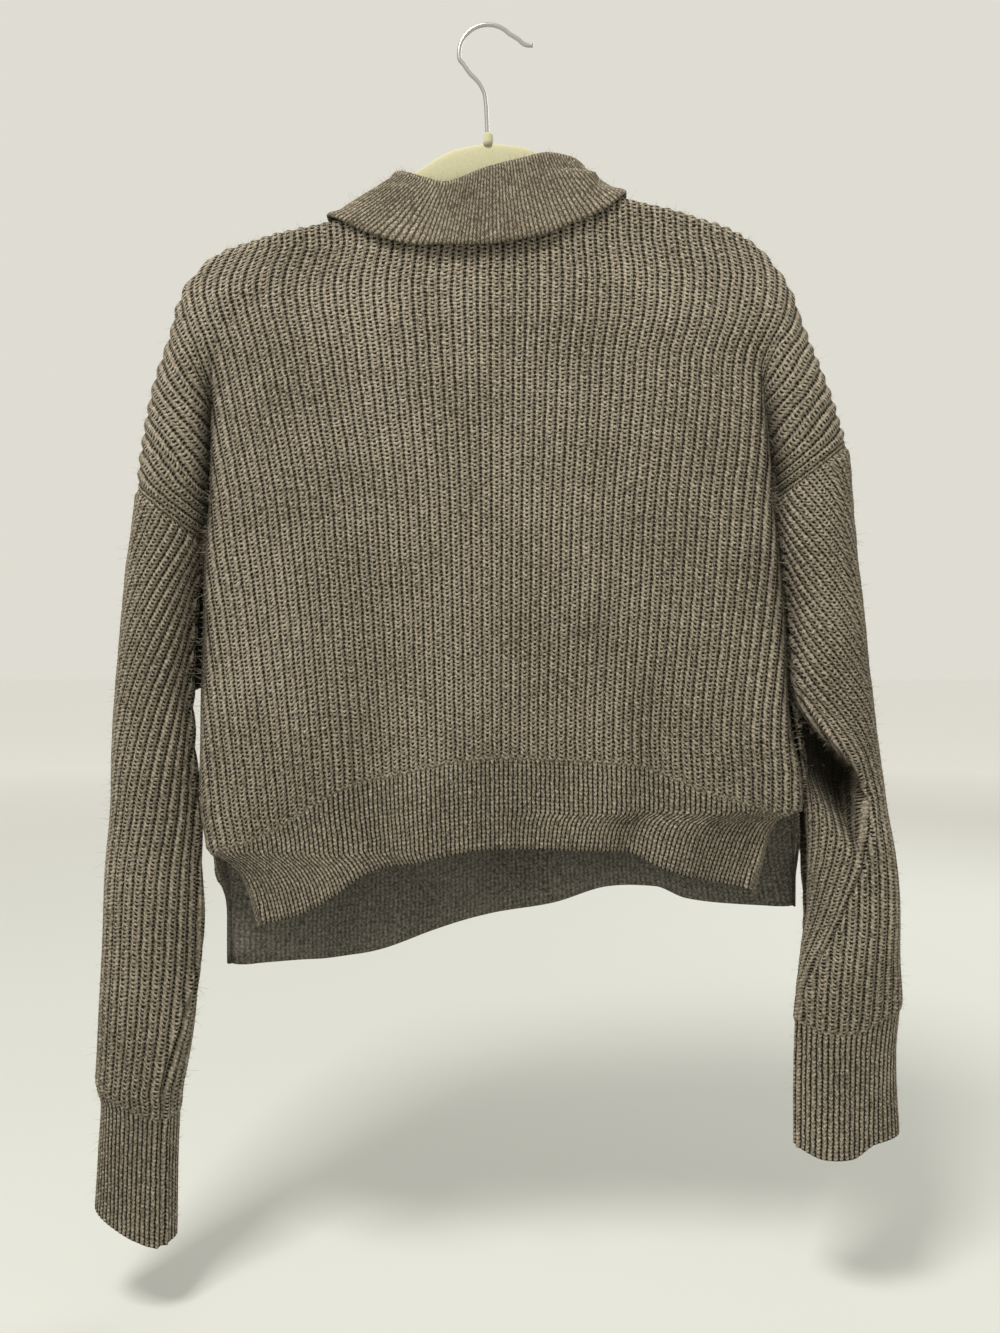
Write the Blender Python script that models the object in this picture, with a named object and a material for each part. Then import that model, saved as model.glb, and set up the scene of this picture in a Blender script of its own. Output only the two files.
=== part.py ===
"""Cropped rib-knit sweater with a turned-down collar, hanging on a slim hanger.

Frame: metres, +Z up. The origin is the inside top of the hanger's hook, where it hangs.
The sweater's back faces -Y, its front faces +Y, and +X is to the right of someone looking
at the back. Sizes below are in millimetres. "drop" is a distance below the origin, and
"depth" is a distance out from the upright plane through the hanger, to the back or front.
"""

import bpy
import bmesh
import math
import numpy as np

MM = 0.001

# ---------------------------------------------------------------- driving sizes
KNIT_WALL = 3.0  # thickness of the knit under its ribs
COLLAR_WALL = 2.4  # the collar is a finer, thinner knit
SEAM_GAP = 0.3  # space left between two pieces that are sewn together
RIB_HEIGHT = 1.3  # how far each rib stands out of the wall
HALF_WALES = 35  # ribs from the middle of a panel to its side edge
NECK_WALES = 9  # ribs from the middle to the neck point
MIDDLE_X = 7.0  # where the middle rib of both panels runs
EDGE_BUNCHING = 0.14  # how much closer the ribs lie where the sides turn round
VALLEY_FLOOR = 3.4  # least depth of the fold between body and shoulder
SLEEVE_COLUMNS = 48
VALLEY_SOFTNESS = 6.0  # rounding where the body and the shoulder meet in that fold
FOLD_FADE = 45  # the fold beside the body deepens over this drop
NECK_BACK_DEPTH, NECK_FRONT_DEPTH = 17.0, 18.0
SHOULDER_ROUND = 10.0  # the shoulders round over from the seam within this drop

SWEATER_COLOUR = (0.165, 0.140, 0.100, 1.0)
SWEATER_INSIDE_COLOUR = (0.105, 0.098, 0.078, 1.0)
COLLAR_COLOUR = (0.125, 0.110, 0.080, 1.0)
HANGER_COLOUR = (0.66, 0.62, 0.42, 1.0)
CHROME_COLOUR = (0.62, 0.62, 0.60, 1.0)


def smooth_curve(xs, ys, at):
    """Value at each `at` of a smooth curve through (xs, ys) that never overshoots a row."""
    xs, ys, at = np.asarray(xs, float), np.asarray(ys, float), np.asarray(at, float)
    step = np.diff(xs)
    slope = np.diff(ys) / step
    tangent = np.zeros_like(ys)
    tangent[0], tangent[-1] = slope[0], slope[-1]
    before, after = slope[:-1], slope[1:]
    same_way = before * after > 0
    w1, w2 = 2 * step[1:] + step[:-1], step[1:] + 2 * step[:-1]
    safe_before = np.where(same_way, before, 1.0)
    safe_after = np.where(same_way, after, 1.0)
    mean = (w1 + w2) / (w1 / safe_before + w2 / safe_after)
    tangent[1:-1] = np.where(same_way, mean, 0.0)
    k = np.clip(np.searchsorted(xs, at) - 1, 0, len(xs) - 2)
    t = np.clip((at - xs[k]) / step[k], 0.0, 1.0)
    return (
        (1 + 2 * t) * (1 - t) ** 2 * ys[k]
        + t * (1 - t) ** 2 * step[k] * tangent[k]
        + t**2 * (3 - 2 * t) * ys[k + 1]
        + t**2 * (t - 1) * step[k] * tangent[k + 1]
    )


class Table:
    """Rows of sizes under named columns. Calling it reads a column between the rows."""

    def __init__(self, names, *rows):
        self.names = names.split()
        self.values = np.array(rows, float)

    def __call__(self, name, at):
        return smooth_curve(self.values[:, 0], self.values[:, self.names.index(name)], at)


# ---------------------------------------------------------------- tables of the garment
# The body below and between the shoulders: side edges and half depths at each drop.
BODY = Table(
    "drop left right back front",
    (100, -236, 226, 11, 11),
    (178, -236, 226, 13, 12),
    (213, -242, 240, 17, 15),
    (240, -242, 236, 21, 17),
    (262, -226, 218, 23, 19),
    (291, -215.5, 215.5, 27, 22),
    (330, -214.6, 219, 31, 25),
    (371, -215.6, 221.5, 34, 27),
    (404, -217.5, 225, 36, 28),
    (457, -218.5, 229.5, 38, 29),
    (521, -220.5, 231, 39, 30),
    (552, -221.5, 234, 39, 30),
    (583, -222, 241, 38, 30),
    (609, -220.5, 243, 37, 30),
    (638, -216, 243, 36, 30),
    (745, -216, 243, 35, 30),
)
# The free edges of the side slits, below which back and front hang apart.
BACK_SLIT = Table(
    "drop left right",
    (609, -220.5, 243),
    (614, -220.0, 228),
    (622, -219.0, 220),
    (638, -216, 213),
    (648, -201, 209),
    (660, -189, 204),
    (680, -179, 198),
    (700, -172, 194),
)
FRONT_SLIT = Table(
    "drop left right",
    (609, -220.5, 243),
    (638, -216, 245),
    (668, -212, 246),
    (686, -209, 246),
    (740, -209, 246),
)
LEFT_SLIT_TOP, RIGHT_SLIT_TOP = 638, 609
# The hems, by the share of the way from the middle rib (0) to a side edge (-1 or 1).
BACK_HEM = Table(
    "share drop",
    (-1.0, 699),
    (-0.82, 686),
    (-0.65, 667),
    (-0.54, 655),
    (-0.32, 646),
    (-0.15, 639),
    (0.0, 636),
    (0.35, 636),
    (0.5, 638),
    (0.58, 643),
    (0.65, 649),
    (0.8, 658),
    (1.0, 671),
)
FRONT_HEM = Table(
    "share drop",
    (-1.0, 737),
    (-0.70, 736),
    (-0.55, 730),
    (-0.26, 712),
    (0.0, 697),
    (0.2, 688),
    (0.4, 677),
    (0.57, 675),
    (0.66, 683),
    (0.8, 687),
    (1.0, 691),
)
# Where each rib ends at the shoulder seam, from the neck point out to the armhole seam.
LEFT_SEAM = Table(
    "wale x drop",
    (9, -79, 139),
    (11.9, -106, 148),
    (15.5, -140, 158),
    (19.3, -175, 167),
    (22.5, -205, 178),
    (24.6, -237, 214),
    (27, -248, 251),
    (29.6, -260, 291),
    (32.5, -266.5, 330),
    (35, -270, 361),
)
RIGHT_SEAM = Table(
    "wale x drop",
    (9, 84, 129),
    (11.4, 106, 135),
    (14.9, 138, 143.5),
    (19.1, 176, 157),
    (22.5, 207, 172),
    (24.6, 232, 203),
    (27, 246, 240),
    (29.6, 256, 270),
    (32.5, 269, 303),
    (35, 277, 327),
)
# The fold where the shoulder falls beside the body, by the rib that passes through it.
LEFT_FOLD = Table(
    "wale x drop",
    (0, -150, 226),
    (20, -190, 229),
    (23.5, -211, 236),
    (25.4, -213.5, 262),
    (26.2, -214, 291),
    (28.3, -214, 330),
    (30.4, -215, 366),
    (35, -217.5, 404),
)
RIGHT_FOLD = Table(
    "wale x drop",
    (0, 140, 214),
    (20, 180, 217),
    (23.5, 200, 224),
    (25.4, 206, 250),
    (26.2, 211, 275),
    (28.3, 215.5, 306),
    (30.4, 219, 338),
    (35, 221.5, 371),
)
# Each sleeve and the shoulder that falls into it: its outer and inner edge, half depths.
LEFT_SLEEVE = Table(
    "drop outer inner back front",
    (178, -205, -125, 12, 11),
    (213, -236.5, -170, 17, 15),
    (250, -248, -203, 23, 19),
    (291, -260, -212, 29, 24),
    (330, -266.5, -213.6, 33, 27),
    (366, -270.5, -214.8, 35, 29),
    (404, -274.5, -220.5, 36, 30),
    (437, -278, -228.5, 36, 30),
    (479, -282.5, -232.5, 36, 30),
    (525, -286, -234, 35, 30),
    (572, -289, -232.5, 35, 29),
    (622, -291.5, -227.5, 34, 28),
    (665, -294.5, -225.5, 33, 28),
    (713, -297, -226, 31, 27),
    (766, -300, -231, 29, 25),
    (810, -303, -238, 26, 23),
    (824, -304, -240.5, 25, 22),
    (837, -300.5, -241.5, 23, 21),
    (873, -302.5, -242, 22, 20),
    (945, -306, -243, 22, 20),
)
RIGHT_SLEEVE = Table(
    "drop outer inner back front",
    (175, 212, 130, 12, 11),
    (213, 236, 176, 17, 15),
    (240, 246, 198, 22, 18),
    (275, 260, 209, 27, 22),
    (306, 270, 215, 31, 25),
    (338, 278, 219, 34, 28),
    (371, 280, 225, 36, 30),
    (415, 284, 232, 37, 30),
    (474, 289.5, 235, 37, 30),
    (504, 293, 237.5, 36, 30),
    (531, 296.5, 240.5, 35, 29),
    (556, 300, 244.5, 33, 28),
    (580, 304, 248, 31, 28),
    (610, 308, 250, 31, 28),
    (642, 313, 251, 32, 28),
    (685, 317, 251, 31, 27),
    (728, 319, 246, 29, 26),
    (757, 320.5, 243, 27, 24),
    (773, 319, 243, 25, 22),
    (795, 317.5, 243, 24, 21),
    (875, 319, 241, 22, 20),
)
# The lower edge of each cuff, by the share of the way from its outer to its inner side.
LEFT_CUFF = Table("share drop", (0.0, 917), (0.3, 926), (0.6, 936), (0.85, 943), (1.0, 942))
RIGHT_CUFF = Table("share drop", (0.0, 860), (0.3, 863), (0.55, 874), (0.8, 876), (1.0, 872))
# Large soft folds, each by its middle rib, its half width in ribs, the drop where it
# begins, the drop where it is full, and its depth outwards.
BACK_FOLDS = (
    (-19.0, 4.0, 440, 610, 3.2),
    (-13.8, 3.2, 470, 610, -5.0),
    (-8.0, 4.5, 520, 640, 2.4),
    (3.0, 5.0, 500, 650, -2.0),
    (11.0, 5.0, 480, 620, 2.2),
    (16.8, 2.8, 430, 600, -4.2),
    (22.0, 4.0, 460, 600, 3.0),
    (28.0, 3.0, 540, 640, -2.4),
)
FRONT_FOLDS = (
    (-22.0, 4.5, 420, 620, 3.0),
    (-14.0, 4.0, 460, 640, -3.6),
    (-5.0, 5.0, 480, 660, 2.6),
    (6.0, 4.0, 420, 600, -3.0),
    (14.0, 3.4, 480, 640, 3.4),
    (24.0, 7.0, 560, 670, -7.0),
)


# ---------------------------------------------------------------- the garment's form
def ease(t):
    """0 to 1 with a level start and end."""
    t = np.clip(t, 0.0, 1.0)
    return t * t * (3 - 2 * t)


def rounded(t):
    """Height of a quarter circle, from 0 at its edge to 1 on its top."""
    return np.sqrt(1 - (1 - np.clip(t, 0.0, 1.0)) ** 2)


def softer_max(a, b, softness):
    """The larger of two heights, with their meeting line rounded by `softness`."""
    near = np.clip(0.5 + 0.5 * (a - b) / softness, 0.0, 1.0)
    return b + (a - b) * near + softness * near * (1 - near) * 0.5


def spread(share, bunching):
    """Place of a rib across a half panel: even in the middle, closer at its round edge."""
    size = np.abs(share)
    return np.sign(share) * ((1 + bunching) * size - bunching * size**5)


def sleeve_depth(table, face, x, drop):
    """Half depth of a sleeve, an ellipse at each drop, at x."""
    outer, inner = table("outer", drop), table("inner", drop)
    across = (x - (outer + inner) / 2) / (np.abs(outer - inner) / 2)
    return table(face, drop) * np.sqrt(np.clip(1 - across**2, 0.0, 1.0))


def edges(face, drop):
    """Left and right side edge of a panel at a drop, slits included."""
    slit = BACK_SLIT if face == "back" else FRONT_SLIT
    left = np.where(drop > LEFT_SLIT_TOP, slit("left", drop), BODY("left", drop))
    right = np.where(drop > RIGHT_SLIT_TOP, slit("right", drop), BODY("right", drop))
    return left, right


def panel_depth(face, x, drop, wale):
    """Half depth of the back or front at x and drop: body, shoulders and folds."""
    left, right = edges(face, drop)
    half = np.where(x < MIDDLE_X, MIDDLE_X - left, right - MIDDLE_X)
    across = np.abs(x - MIDDLE_X) / half
    flat = np.sqrt(np.clip(1 - across**9, 0.0, 1.0))
    slit_top = np.where(x < MIDDLE_X, LEFT_SLIT_TOP, RIGHT_SLIT_TOP)
    opened = ease((drop - slit_top) / 60)
    flat = np.maximum(flat, flat * (1 - opened) + opened * 0.72)
    depth = BODY(face, drop) * flat
    folds = BACK_FOLDS if face == "back" else FRONT_FOLDS
    for middle, width, begins, full, height in folds:
        bump = np.exp(-(((wale - middle) / width) ** 2))
        depth = depth + height * bump * ease((drop - begins) / (full - begins)) * flat
    left_side = sleeve_depth(LEFT_SLEEVE, face, x, drop)
    right_side = sleeve_depth(RIGHT_SLEEVE, face, x, drop)
    shoulder = np.where(x < MIDDLE_X, left_side, right_side)
    arm_end = np.where(x < MIDDLE_X, 404, 371)
    softness = VALLEY_SOFTNESS + 14 * (1 - ease((drop - 235) / 70))
    joined = softer_max(depth, shoulder, softness)
    depth = np.where(drop < arm_end, np.maximum(joined, VALLEY_FLOOR), depth)
    return depth


def side_of(wale):
    """Tables of the shoulder seam and of the fold on a rib's side."""
    return (LEFT_SEAM, LEFT_FOLD) if wale < 0 else (RIGHT_SEAM, RIGHT_FOLD)


def neck_edge(face, wale):
    """x, depth and drop of the neck's edge on a rib between the two neck points."""
    share = wale / NECK_WALES
    left, right = LEFT_SEAM.values[0], RIGHT_SEAM.values[0]
    point_drop = left[2] + (right[2] - left[2]) * (share + 1) / 2
    hollow = 12.0 if face == "back" else 66.0
    power = 2.0 if face == "back" else 1.15
    drop = point_drop + hollow * (1 - abs(share) ** power)
    return panel_x(face, wale, drop), neck_depth(face, share), drop


def neck_depth(face, share):
    """Half depth of the neck opening at a share of the way to its neck point."""
    full = NECK_BACK_DEPTH if face == "back" else NECK_FRONT_DEPTH
    return full * max(1 - abs(share) ** 4, 0.0) ** 0.25


def panel_point(face, wale, row):
    """x, depth and drop of a panel on rib `wale`.

    row runs 0 to 1 from the hem to just below the arms, 1 to 2 from there to the fold
    beside the body, and 2 to 3 from there to the shoulder seam or neck.
    """
    seam, fold = side_of(wale)
    size = abs(wale)
    hem = BACK_HEM if face == "back" else FRONT_HEM
    hem_drop = float(hem("drop", spread(wale / HALF_WALES, EDGE_BUNCHING)))
    if size <= NECK_WALES:
        top_x, top_depth, top_drop = neck_edge(face, wale)
    else:
        top_x, top_depth, top_drop = float(seam("x", size)), 0.0, float(seam("drop", size))
    if row >= 3:
        return top_x, top_depth, top_drop
    marks = (hem_drop, fold.values[-1][2] + 10, max(float(fold("drop", size)), top_drop + 14))
    if size > 23.5:
        marks = marks[:2] + (float(fold("drop", size)),)
    drop = float(np.interp(row, (0, 1, 2, 3), marks + (top_drop,)))
    x = panel_x(face, wale, drop)
    depth = float(panel_depth(face, x, drop, wale))
    below = drop - top_drop
    reach = SHOULDER_ROUND * float(1 - ease((size - 23.5) / 3))
    shoulder = depth * float(rounded(below / reach)) if reach > 0.01 else depth
    if size < NECK_WALES:
        neck = top_depth + (depth - top_depth) * float(ease(below / 70))
        shoulder = max(shoulder, neck) if top_depth < depth else neck
    return x, shoulder, drop


def panel_x(face, wale, drop):
    """x of rib `wale` at a drop: spread over the body, with the fold beside it."""
    seam, fold = side_of(wale)
    size = abs(wale)
    arm_drop = float(fold.values[-1][2])
    if drop >= arm_drop:
        side = float(edges(face, drop)[0 if wale < 0 else 1])
        return MIDDLE_X + (side - MIDDLE_X) * float(spread(size / HALF_WALES, EDGE_BUNCHING))
    fold_wale = float(smooth_curve(fold.values[:, 2], fold.values[:, 0], drop))
    fold_x = float(smooth_curve(fold.values[:, 2], fold.values[:, 1], drop))
    seam_wale, seam_x = arm_edge(seam, fold, drop)
    bunching = EDGE_BUNCHING * float(ease((drop - 250) / (arm_drop - 250)))
    weight = float(ease((drop - fold.values[2][2]) / FOLD_FADE))
    straight = MIDDLE_X + (seam_x - MIDDLE_X) * min(size / seam_wale, 1.0)
    folded = folded_x(size, fold_wale, fold_x, seam_wale, seam_x, bunching)
    return straight * (1 - weight) + folded * weight


def arm_edge(seam, fold, drop):
    """Outermost rib and its x at a drop: on the shoulder seam, or on the armhole seam."""
    drops, wales, xs = seam.values[:, 2], seam.values[:, 0], seam.values[:, 1]
    if drop <= drops[-1]:
        wale = float(smooth_curve(drops, wales, drop))
        return wale, float(smooth_curve(drops, xs, drop))
    end_x, end_drop = fold.values[-1][1], fold.values[-1][2]
    share = (drop - drops[-1]) / (end_drop - drops[-1])
    return float(HALF_WALES), xs[-1] + (end_x - xs[-1]) * share


def folded_x(size, fold_wale, fold_x, seam_wale, seam_x, bunching):
    """x of a rib across a half panel that has a fold at fold_wale."""
    if size <= fold_wale or fold_wale < 1:
        fold_wale = max(fold_wale, 1.0)
        return MIDDLE_X + (fold_x - MIDDLE_X) * abs(float(spread(size / fold_wale, bunching)))
    share = min((size - fold_wale) / max(seam_wale - fold_wale, 0.01), 1.0)
    return fold_x + (seam_x - fold_x) * share


# ---------------------------------------------------------------- solids from grids
def zip_rows(faces, outer, inner, columns, closed):
    """Joins a fine row of points to a coarse one with triangles, for the rim of a wall.

    columns gives the fine row's number for each point of the coarse one.
    """
    if closed:
        columns = list(columns) + [len(outer)]
        outer, inner = outer + outer[:1], inner + inner[:1]
    i = k = 0
    while i < len(outer) - 1 or k < len(inner) - 1:
        turn = len(outer)
        if k < len(inner) - 1:
            turn = (columns[k] + columns[k + 1]) / 2
        if turn % 1 == 0 or columns[min(k + 1, len(inner) - 1)] - columns[k] > 1:
            turn = 2 * (turn // 2) + 1  # a point between two ribs
        if i < len(outer) - 1 and i + 1 <= turn:
            faces.append((outer[i], outer[i + 1], inner[k]))
            i += 1
        else:
            faces.append((outer[i], inner[k + 1], inner[k]))
            k += 1


def short_diagonal(points, a, b, c, d):
    """Two triangles for four corners in turn, split along the shorter diagonal."""
    if np.linalg.norm(points[a] - points[c]) <= np.linalg.norm(points[b] - points[d]):
        return [(a, b, c), (a, c, d)]
    return [(a, b, d), (b, c, d)]


def wall_object(name, outer, inner, columns, closed, material):
    """A closed wall between an outer grid and an inner grid of some of its columns.

    outer and inner are arrays [row][column][3] in millimetres with equally many columns;
    of inner only the listed columns are used. `closed` says that the columns run right
    round, as on a sleeve.
    """
    inner = inner[:, columns]
    rows, many, few = outer.shape[0], outer.shape[1], inner.shape[1]
    points = np.concatenate([outer.reshape(-1, 3), inner.reshape(-1, 3)]) * MM
    at_outer = lambda r, c: r * many + c % many
    at_inner = lambda r, c: rows * many + r * few + c % few
    faces = []
    for r in range(rows - 1):
        for c in range(many if closed else many - 1):
            a, b = at_outer(r, c), at_outer(r, c + 1)
            d, e = at_outer(r + 1, c), at_outer(r + 1, c + 1)
            faces += short_diagonal(points, a, b, e, d)
        for c in range(few if closed else few - 1):
            a, b = at_inner(r, c), at_inner(r, c + 1)
            d, e = at_inner(r + 1, c), at_inner(r + 1, c + 1)
            faces += short_diagonal(points, a, d, e, b)
    for r in (0, rows - 1):
        outer_row = [at_outer(r, c) for c in range(many)]
        inner_row = [at_inner(r, c) for c in range(few)]
        zip_rows(faces, outer_row, inner_row, columns, closed)
    if not closed:
        for c_outer, c_inner in ((0, 0), (many - 1, few - 1)):
            for r in range(rows - 1):
                a, b = at_outer(r, c_outer), at_outer(r + 1, c_outer)
                d, e = at_inner(r, c_inner), at_inner(r + 1, c_inner)
                faces += short_diagonal(points, a, b, e, d)
    return mesh_object(name, points, faces, material)


def mesh_object(name, points, faces, material):
    """Object from points and faces, its faces turned outwards, in the sweater collection."""
    mesh = bpy.data.meshes.new(name)
    mesh.from_pydata([tuple(p) for p in points], [], faces)
    shape = bmesh.new()
    shape.from_mesh(mesh)
    bmesh.ops.recalc_face_normals(shape, faces=shape.faces)
    shape.to_mesh(mesh)
    shape.free()
    mesh.materials.append(material)
    mesh.shade_smooth()
    mesh.set_sharp_from_angle(angle=math.radians(50))
    made = bpy.data.objects.new(name, mesh)
    COLLECTION.objects.link(made)
    return made


def knit_material(name, colour, roughness, metallic=0.0):
    """Principled material of one colour."""
    made = bpy.data.materials.new(name)
    made.use_nodes = True
    shader = made.node_tree.nodes["Principled BSDF"]
    shader.inputs["Base Color"].default_value = colour
    shader.inputs["Roughness"].default_value = roughness
    shader.inputs["Metallic"].default_value = metallic
    made.diffuse_color = colour
    return made


# ---------------------------------------------------------------- front and back panels
BELOW_ROWS = (0.0, 0.14, 0.3, 0.53, 0.77, 1.0)
ABOVE_ROWS = (1.4, 1.75, 2.0, 2.06, 2.2, 2.42, 2.64, 2.82, 2.94, 3.0)
# Ribs where the plain inside has a column too: all near the sides, few in the middle.
INNER_WALES = (0, 2.5, 5, 7.5, 8.5, 9, 10.5, 12.5, 15, 17.5, 20, 22)
INNER_WALES += (24, 25, 25.5, 26, 27, 28, 29, 30, 31, 32, 33, 34, 35)
UNDERARM_CLEAR = 5.5  # the inside of the wall ends this far above the underarm point


def panel(face, name, material):
    """Back or front: a ribbed wall from its hem to the shoulder seam and neck."""
    sign = -1 if face == "back" else 1
    wales = np.arange(-2 * HALF_WALES, 2 * HALF_WALES + 1) / 2
    rows = BELOW_ROWS + ABOVE_ROWS
    base = np.zeros((len(rows), len(wales), 3))
    normal = np.zeros_like(base)
    for r, row in enumerate(rows):
        for c, wale in enumerate(wales):
            x, depth, drop = panel_point(face, wale, row)
            base[r, c] = x, sign * (depth + SEAM_GAP / 2), -drop
            normal[r, c] = panel_normal(face, sign, wale, row)
    seam = np.abs(wales) >= NECK_WALES
    normal[-1, seam] = seam_normals(base[-1])[seam]
    rows = np.array(rows)
    for c, slit_top in ((0, LEFT_SLIT_TOP), (-1, RIGHT_SLIT_TOP)):
        sewn = (-base[:, c, 2] <= slit_top) & (rows <= 2)
        normal[sewn, c] = (-1.0 if c == 0 else 1.0, 0.0, 0.0)
        arm = rows > 2
        normal[arm, c] = arm_normals(base[arm, c], c, face, sign)
        base[arm, c, 2] += SEAM_GAP
    normal /= np.linalg.norm(normal, axis=2, keepdims=True)
    ridge = (np.round(np.abs(wales) * 2) % 2 == 0).astype(float)
    relief = RIB_HEIGHT * ridge[None, :] * np.ones(len(rows))[:, None]
    relief[:, (0, -1)] = 0
    relief[-1] = 0
    relief *= ease((np.abs(base[:, :, 1]) - VALLEY_FLOOR) / 8)
    outer = base + normal * relief[:, :, None]
    inner = base - normal * KNIT_WALL
    inner[rows == 2, 0] = base[rows == 2, 0] + (0.3, 0, UNDERARM_CLEAR)
    inner[rows == 2, -1] = base[rows == 2, -1] + (-0.3, 0, UNDERARM_CLEAR)
    columns = [c for c, wale in enumerate(wales) if abs(wale) in INNER_WALES]
    return wall_object(name, outer, inner, columns, False, material)


def panel_normal(face, sign, wale, row):
    """Unit normal of a panel, from four near points."""
    near = []
    for across, along in ((-0.1, 0), (0.1, 0), (0, -0.01), (0, 0.01)):
        at = min(max(wale + across, -HALF_WALES), HALF_WALES)
        x, depth, drop = panel_point(face, at, min(max(row + along, 0.0), 2.999))
        near.append(np.array((x, sign * depth, -drop)))
    normal = np.cross(near[1] - near[0], near[3] - near[2]) * -sign
    normal /= max(np.linalg.norm(normal), 1e-9)
    in_valley = float(ease((abs(wale) - 23.5) / 1.5)) if abs(row - 2) < 0.1 else 0.0
    normal = normal * (1 - in_valley) + np.array((0, sign, 0.0)) * in_valley
    return normal / max(np.linalg.norm(normal), 1e-9)


def seam_normals(row):
    """Directions straight out of the upright plane curve that a row of points lies on."""
    along = np.gradient(row, axis=0)
    normal = np.stack([-along[:, 2], np.zeros(len(row)), along[:, 0]], axis=1)
    return normal / np.linalg.norm(normal, axis=1, keepdims=True)


def arm_normals(points, column, face, sign):
    """Outward directions of the sleeve's ellipse at points of the armhole seam."""
    table = LEFT_SLEEVE if column == 0 else RIGHT_SLEEVE
    drop = -points[:, 2]
    outer, inner = table("outer", drop), table("inner", drop)
    half, deep = np.abs(outer - inner) / 2, table(face, drop)
    across = (points[:, 0] - (outer + inner) / 2) / half
    normal = np.zeros_like(points)
    normal[:, 0] = np.clip(across, -1, 1) / half
    normal[:, 1] = sign * np.sqrt(np.clip(1 - across**2, 0, 1)) / deep
    normal[np.abs(points[:, 1]) < VALLEY_FLOOR + 0.4] = (0, sign, 0)
    normal[-1] = (-1.0 if column == 0 else 1.0, 0, 0)
    normal /= np.linalg.norm(normal, axis=1, keepdims=True)
    normal[:, 2] = normal[:, 0] * armhole_slope(column == 0)
    return normal


def armhole_slope(left):
    """Rise in z for each step in x of the flat, slanting armhole seam."""
    seam, fold = (LEFT_SEAM, LEFT_FOLD) if left else (RIGHT_SEAM, RIGHT_FOLD)
    start, end = seam.values[-1], fold.values[-1]
    return -(end[2] - start[2]) / (end[1] - start[1])


# ---------------------------------------------------------------- sleeves
SLEEVE_ROWS = (0.0, 0.05, 0.13, 0.22, 0.31, 0.385, 0.44, 0.5, 0.57, 0.66, 0.76, 0.83, 0.86, 0.93, 1.0)


def armhole_drop(seam, fold, x):
    """Drop of the armhole seam above a place x across the sleeve."""
    end_x, end_drop = fold.values[-1][1], fold.values[-1][2]
    start_x, start_drop = seam.values[-1][1], seam.values[-1][2]
    share = np.clip((x - start_x) / (end_x - start_x), 0.0, 1.0)
    return start_drop + (end_drop - start_drop) * share


def sleeve(name, table, seam, fold, cuff, material):
    """A ribbed tube from the armhole seam to the open cuff."""
    outward = -1 if seam is LEFT_SEAM else 1
    angle = np.arange(SLEEVE_COLUMNS) * 2 * math.pi / SLEEVE_COLUMNS
    share = (1 - np.cos(angle)) / 2
    base = np.zeros((len(SLEEVE_ROWS), SLEEVE_COLUMNS, 3))
    normal = np.zeros_like(base)
    top = np.full(SLEEVE_COLUMNS, fold.values[-1][2])
    for _ in range(6):
        outer, inner = table("outer", top), table("inner", top)
        top = armhole_drop(seam, fold, outer + (inner - outer) * share)
    top = top + SEAM_GAP
    bottom = cuff("drop", share)
    back_side = np.sin(angle) < 0
    for r, along in enumerate(SLEEVE_ROWS):
        drop = top + (bottom - top) * along
        outer, inner = table("outer", drop), table("inner", drop)
        middle, half = (outer + inner) / 2, np.abs(outer - inner) / 2
        deep = np.where(back_side, table("back", drop), table("front", drop))
        base[r, :, 0] = middle + outward * half * np.cos(angle)
        base[r, :, 1] = deep * np.sin(angle)
        base[r, :, 2] = -drop
        normal[r, :, 0] = outward * np.cos(angle) / half
        normal[r, :, 1] = np.sin(angle) / deep
    normal /= np.linalg.norm(normal, axis=2, keepdims=True)
    normal[0, :, 2] = normal[0, :, 0] * armhole_slope(outward < 0)
    ridge = (np.arange(SLEEVE_COLUMNS) % 2 == 0).astype(float)
    relief = RIB_HEIGHT * ridge[None, :] * np.ones(len(SLEEVE_ROWS))[:, None]
    relief[0] = 0
    outer_grid = base + normal * relief[:, :, None]
    inner_grid = base - normal * KNIT_WALL
    columns = list(range(0, SLEEVE_COLUMNS, 4))
    return wall_object(name, outer_grid, inner_grid, columns, True, material)


# ---------------------------------------------------------------- collar
# Stations from the left front end, round the back of the neck, to the right front end:
# the panel and rib it is sewn to, the top of the fold and the free edge of the fall.
COLLAR = Table(
    "share wale fold_x fold_y fold_drop edge_x edge_y edge_drop",
    (0.00, -0.6, -3, 21, 184, -34, 24, 240),
    (0.12, -3.8, -31, 21, 168, -74, 22, 218),
    (0.22, -6.8, -55, 16, 142, -105, 15, 184),
    (0.27, -8.4, -68, 8.5, 121, -122, 8, 158),
    (0.30, -9.0, -71, 1, 116, -125, 1, 150.5),
    (0.34, -8.4, -67, -8.5, 118, -115, -12, 156),
    (0.40, -6.2, -50, -16.5, 126, -90, -17, 168),
    (0.46, -4.2, -33, -19.5, 131, -50, -20, 178),
    (0.54, -1.0, -3, -20, 121, -8, -20, 178),
    (0.62, 2.4, 28, -18.5, 112, 36, -20, 172),
    (0.68, 5.2, 47, -15.0, 107, 66, -17, 161),
    (0.73, 7.8, 64, -8.5, 107.5, 98, -10, 143),
    (0.76, 9.0, 73, 1, 111, 108, 1, 132.5),
    (0.79, 8.4, 69, 9.5, 115, 110, 8, 141),
    (0.84, 6.8, 57, 16, 131, 105, 15, 168),
    (0.92, 3.5, 33, 21, 162, 78, 22, 206),
    (1.00, 0.6, 13, 21, 182, 40, 24, 236),
)
FOLD_RADIUS = 3.6
NECK_REACH = 7.0  # the fall leaves the neck's edge this far above it
COLLAR_CLEAR = RIB_HEIGHT + 2.0 + COLLAR_WALL / 2  # fall's middle to the knit below it


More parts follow.
